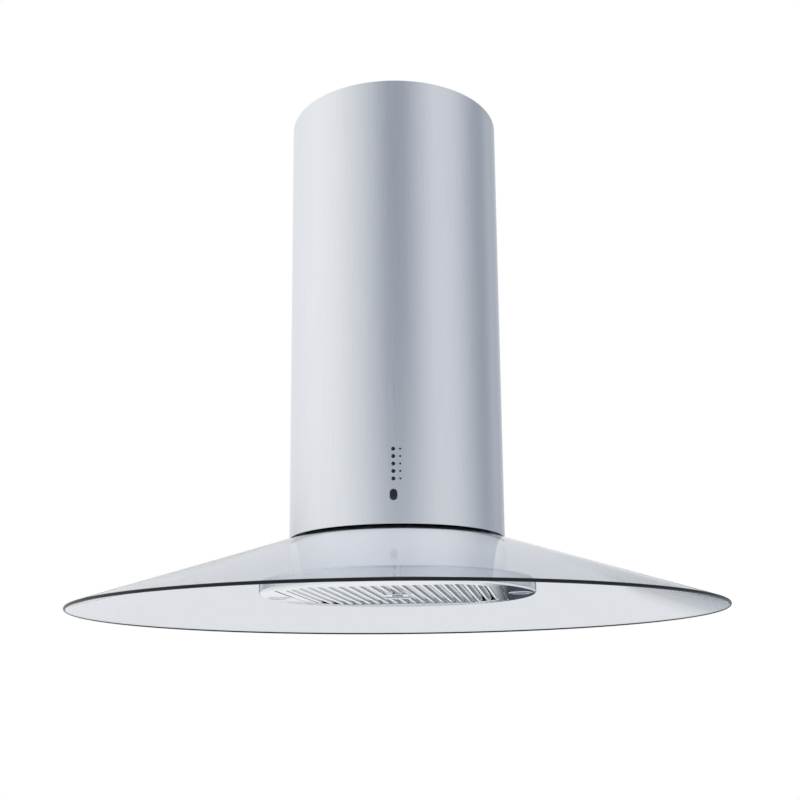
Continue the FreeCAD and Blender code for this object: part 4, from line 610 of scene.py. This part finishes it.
# wing knob: a small round base and a softly rounded wing under it
knob = {"length": 40.0, "width": 9.0, "tall": 2.6, "base": 8.0, "baseTall": 1.2, "round": 1.2, "gap": 0.5,
        "sink": 0.1}
knobTop = foot - knob["gap"]
wingTop = knobTop - knob["baseTall"]
wingFoot, straight = wingTop - knob["tall"], knob["length"] - knob["width"]
loops = []
for step in range(6):
    angle = math.radians(90 * step / 5)
    inset, level = knob["round"] * (1 - math.cos(angle)), wingFoot + knob["round"] * (1 - math.sin(angle))
    loops.insert(0, [(y, -x, level) for x, y in slotOutline(knob["width"] - 2 * inset, straight)])
loops.append([(y, -x, wingTop) for x, y in slotOutline(knob["width"], straight)])
wing = loft("filterKnobWing", loops, knobSteel)
hold(wing, "filter_knob_body", "brushed_stainless", "filter_knob")
baseFoot = wingTop - knob["sink"]
knobBase = lathe("filterKnobBase", [(0, baseFoot, 0), (knob["base"], baseFoot, 0.3),
                                    (knob["base"], knobTop, 0.3), (0, knobTop, 0)], knobSteel, 64)
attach(knobBase, "filter_knob_body")
print("filter:", len(slats.data.polygons), "slat faces")


# buttons, lights and window
button = {"flange": 3.8, "flangeThick": 1.4, "stem": 2.5, "shoulder": 0.7, "crown": 1.2, "proud": 1.0,
          "behind": 1.6}
front, flangeFace = chimney["radius"], bore - button["behind"]
flangeBack, crownFace = flangeFace - button["flangeThick"], front + button["proud"]
names = ("off", "speed_one", "speed_two", "speed_three", "light")
for name, level in zip(names, buttonLevels):
    cap = lathe(f"buttonCap.{name}", [(0, flangeBack, 0), (button["flange"], flangeBack, 0.2),
                                      (button["flange"], flangeFace, 0.2), (button["stem"], flangeFace, 0.1),
                                      (button["stem"], front + button["shoulder"], 0.5),
                                      (button["crown"], crownFace, 1.2), (0, crownFace, 0)], blackAbs, 40)
    cap.data.transform(Matrix.Translation((0, 0, level * mm)) @ frontWay)
    hold(cap, f"button_{name}_cap", "black_button_plastic", f"button_{name}")

pipe = {"radius": 1.3, "shoulder": 0.6, "sunk": 0.4}
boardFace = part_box("control_board")[0].y / -mm
pipes = lathe("lightPipes", [(0, boardFace, 0), (pipe["radius"], boardFace, 0.1),
                             (pipe["radius"], front - pipe["shoulder"], 0.3), (0, front - pipe["sunk"], 0)],
              smokedAcrylic, 28)
pipes.data.transform(frontWay)
runTree(rowTree, pipes, {"Count": controls["count"], "Step": (0, 0, controls["pitch"] * mm),
                         "Finish": smokedAcrylic})
rowMiddle = chimney["foot"] + controls["lowest"] + controls["pitch"] * (controls["count"] - 1) / 2
pipes.data.transform(Matrix.Translation((controls["lightAside"] * mm, 0, rowMiddle * mm)))
finishMesh(pipes)
hold(pipes, "hood", "smoked_plastic", "indicator_light_pipes")

# the window swells gently: how far in from its outline, and how far in front of the chimney
pane = {"width": 9.8, "straight": 5.0, "flange": 1.3, "flangeThick": 1.4,
        "swell": ((0, 0.35), (0.35, 0.62), (1.0, 0.8), (2.4, 0.9), (4.2, 0.93))}
steps = [(-pane["flange"], flangeFace - pane["flangeThick"]), (-pane["flange"], flangeFace), (0, flangeFace)]
steps += [(inset, front + proud) for inset, proud in pane["swell"]]
window = loft("remoteWindow", [[(x, -reach, middle + z) for x, z in
                                slotOutline(pane["width"] - 2 * inset, pane["straight"])]
                               for inset, reach in steps], smokedAcrylic)
hold(window, "hood", "smoked_plastic", "remote_window")
print("controls made")


# chimney screws
screw = {"head": 3.7, "tall": 2.0, "shoulder": 0.9, "flat": 1.6, "shank": 2.0, "reach": 14.0, "slotLong": 4.2,
         "slotWide": 0.9, "slotFloor": 0.9}
heads = lathe("chimneyScrews", [(0, -screw["reach"], 0), (screw["shank"], -screw["reach"], 0.4),
                                (screw["shank"], 0, 0.1), (screw["head"], 0, 0.2),
                                (screw["head"], screw["shoulder"], 1.0), (screw["flat"], screw["tall"], 2.2),
                                (0, screw["tall"], 0)], zincPlate, 36)
for wide, long in ((screw["slotWide"], screw["slotLong"]), (screw["slotLong"], screw["slotWide"])):
    ends = [(-wide / 2, -long / 2), (wide / 2, -long / 2), (wide / 2, long / 2), (-wide / 2, long / 2)]
    cutWith(heads, blockCutter(ends, screw["slotFloor"], 2 * screw["tall"], zincPlate))
finishMesh(heads)
heads.data.transform(sideWay)
runTree(ringTree, heads, {"Count": len(screwTurns), "Radius": chimney["radius"] * mm,
                          "First angle": screwTurns[0], "Step angle": screwTurns[1] - screwTurns[0],
                          "Height": chimney["screwLevel"] * mm, "Finish": zincPlate})
finishMesh(heads)
hold(heads, "hood", "zinc_plated_screws", "chimney_screws")


# pieces that stay as they are and take a better finish
finishes = {
    galvanised: ("ceiling_bracket", "upright_front_left", "upright_front_right", "upright_rear_left",
                 "upright_rear_right", "lower_frame_ring", "rear_strap", "filter_crossbar",
                 "fan_casing_lower", "fan_casing_upper", "motor_carrier", "capacitor_clip"),
    castAluminium: ("glass_clamp_ring", "lamp_housings"),
    zincPlate: ("frame_screws", "clamp_screws", "tray_screws", "fan_screws", "control_studs_and_nuts",
                "knob_stud", "flap_pin", "motor_shaft", "motor_bearings"),
    slatSteel: ("upper_baffles",),
    blackRubber: ("fan_seal_ring", "button_mat"),
    boardGreen: ("control_board",),
    blackNylon: ("control_housing", "terminal_box", "terminal_cover", "cable_gland", "outlet_collar"),
    greyPlastic: ("impeller_disc", "impeller_eye_ring", "impeller_blades", "flap_front", "flap_rear"),
    blackPaint: ("motor_body",),
    canAluminium: ("run_capacitor",),
}
for finish, nodes in finishes.items():
    for node in nodes:
        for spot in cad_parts[node].material_slots:
            spot.material = finish
print("kept nodes dressed:", sum(len(nodes) for nodes in finishes.values()))


# camera
shot = {"distance": 1.5246, "height": -0.8461, "azimuth": 1.6, "pitch": 10.66, "yaw": 0.17, "roll": -0.49,
        "lens": 48.72, "shift": 0.12}
around = math.radians(shot["azimuth"])
camera = newObject("camera", bpy.data.cameras.new("camera"))
camera.location = (shot["distance"] * math.sin(around), -shot["distance"] * math.cos(around), shot["height"])
aim = (Matrix.Rotation(around - math.radians(shot["yaw"]), 3, "Z")
       @ Matrix.Rotation(math.radians(90 + shot["pitch"]), 3, "X")
       @ Matrix.Rotation(math.radians(shot["roll"]), 3, "Z"))
camera.rotation_euler = aim.to_euler()
camera.data.lens = shot["lens"]
camera.data.sensor_width = 36
camera.data.shift_y = shot["shift"]
camera.data.clip_start = 0.05
scene.camera = camera


# floor, light and background; the pale floor fades out towards its edge
floorSizes = {"radius": 2.3, "level": -1.62, "fadeFrom": 1.0, "fadeTo": 2.2}
floorMaterial = bpy.data.materials.new("paleFloor")
floorMaterial.use_nodes = True
tree = floorMaterial.node_tree
place = addNode(tree, "ShaderNodeTexCoord").outputs["Object"]
reach = addNode(tree, "ShaderNodeVectorMath", {0: place}, operation="LENGTH")
fade = addNode(tree, "ShaderNodeMapRange", {"Value": reach.outputs["Value"],
                                            "From Min": floorSizes["fadeFrom"],
                                            "From Max": floorSizes["fadeTo"]})
paint = addNode(tree, "ShaderNodeBsdfDiffuse", {"Color": linear("#f4f5f6")})
gone = addNode(tree, "ShaderNodeBsdfTransparent")
blend = addNode(tree, "ShaderNodeMixShader", {0: fade.outputs["Result"], 1: paint, 2: gone})
tree.links.new(blend.outputs[0], tree.nodes["Material Output"].inputs["Surface"])
shape = bmesh.new()
bmesh.ops.create_circle(shape, cap_ends=True, segments=96, radius=floorSizes["radius"])
floorMesh = bpy.data.meshes.new("floor")
shape.to_mesh(floorMesh)
shape.free()
floorMesh.materials.append(floorMaterial)
floor = newObject("floor", floorMesh)
floor.location.z = floorSizes["level"]

# white and grey screens that polished steel sees round the studio, above, below and at eye level.
# Each is given by its angle, from behind on the left (-180) past the front (0) to behind on the right.
upperBands = [(-180, "#ffffff"), (-150, "#f1f3f5"), (-92, "#ffffff"), (-62, "#f6f7f8"), (-28, "#d3d6dc"),
              (-4, "#9aa0ab"), (10, "#989ea9"), (44, "#e2e4e9"), (68, "#dcdfe4"), (102, "#a2a7b1"),
              (114, "#99a0aa"), (132, "#c4c9d0"), (146, "#a9afb9"), (160, "#d6dae0"), (180, "#ffffff")]
lowerBands = [(-180, "#f4f5f7"), (-120, "#f8f9fa"), (-60, "#e6e9ee"), (0, "#aab1bc"), (60, "#c4cad2"),
              (120, "#b4bac3"), (162.4, "#e4e7eb"), (167.4, "#868d99"), (175.8, "#3c434e"),
              (176.8, "#eceff2"), (180, "#f4f5f7")]
levelBands = [(-180, "#b9bfc8"), (-172, "#4a515c"), (-163, "#59606c"), (-152, "#d9dde2"), (-138, "#7d8591"),
              (-110, "#c9ced6"), (-60, "#f8f9fa"), (60, "#f2f4f6"), (110, "#a9b0ba"), (140, "#8b929e"),
              (152, "#cfd4da"), (163, "#59606c"), (172, "#4a515c"), (180, "#b9bfc8")]
world = bpy.data.worlds.new("studio")
scene.world = world
world.use_nodes = True
tree = world.node_tree
tree.nodes.clear()
way = addNode(tree, "ShaderNodeTexCoord").outputs["Generated"]
axes = addNode(tree, "ShaderNodeSeparateXYZ", {"Vector": way})
ahead = addNode(tree, "ShaderNodeMath", {0: axes.outputs["Y"], 1: -1.0}, operation="MULTIPLY")
aside = addNode(tree, "ShaderNodeMath", {0: axes.outputs["X"], 1: ahead}, operation="ARCTAN2")
spot = addNode(tree, "ShaderNodeMath", {0: aside, 1: 1 / math.tau, 2: 0.5}, operation="MULTIPLY_ADD")
# each zone fades into the next between two heights of the direction
around = linear("#eef0f3")
for low, high, bands in ((-0.34, -0.22, lowerBands), (0.04, 0.07, levelBands), (0.12, 0.15, upperBands)):
    ring = addNode(tree, "ShaderNodeValToRGB", {"Fac": spot},
                   [(0.5 + a / 360, linear(c)) for a, c in bands[:1] + bands[-1:] + bands[1:-1]])
    step = addNode(tree, "ShaderNodeMapRange", {"Value": axes.outputs["Z"], "From Min": low,
                                                "From Max": high})
    around = addNode(tree, "ShaderNodeMix", {"Factor": step.outputs["Result"], "A": around,
                                             "B": ring.outputs["Color"]}, data_type="RGBA")
step = addNode(tree, "ShaderNodeMapRange", {"Value": axes.outputs["Z"], "From Min": 0.7, "From Max": 0.95})
around = addNode(tree, "ShaderNodeMix", {"Factor": step.outputs["Result"], "A": around,
                                         "B": linear("#eceef0")}, data_type="RGBA")
room = addNode(tree, "ShaderNodeBackground", {"Color": around, "Strength": 1.0})
white = addNode(tree, "ShaderNodeBackground", {"Color": linear("#ffffff"), "Strength": 1.0})
rays = addNode(tree, "ShaderNodeLightPath")
# the eye, also through the glass, sees plain white; steel under the glass still shows the studio
through = addNode(tree, "ShaderNodeMath", {0: rays.outputs["Is Transmission Ray"],
                                           1: rays.outputs["Glossy Depth"]},
                  operation="SUBTRACT", use_clamp=True)
seen = addNode(tree, "ShaderNodeMath", {0: rays.outputs["Is Camera Ray"], 1: through}, operation="MAXIMUM")
sky = addNode(tree, "ShaderNodeMixShader", {0: seen, 1: room, 2: white})
addNode(tree, "ShaderNodeOutputWorld", {"Surface": sky})

# two large soft lamps; the metal shows the studio above and not these
studioLamps = {"keyLamp": ((-1.2, -2.0, 0.6), 33), "fillLamp": ((1.6, -1.7, 0.2), 26)}
lampSize, lampAim = 1.6, Vector((0, 0, -0.5))
for name, (place, power) in studioLamps.items():
    lamp = bpy.data.lights.new(name, "AREA")
    lamp.size = lampSize
    lamp.energy = power
    stand = newObject(name, lamp)
    stand.location = place
    stand.rotation_euler = (lampAim - Vector(place)).to_track_quat("-Z", "Y").to_euler()
    stand.visible_glossy = stand.visible_transmission = stand.visible_camera = False
print("camera, floor and light set")
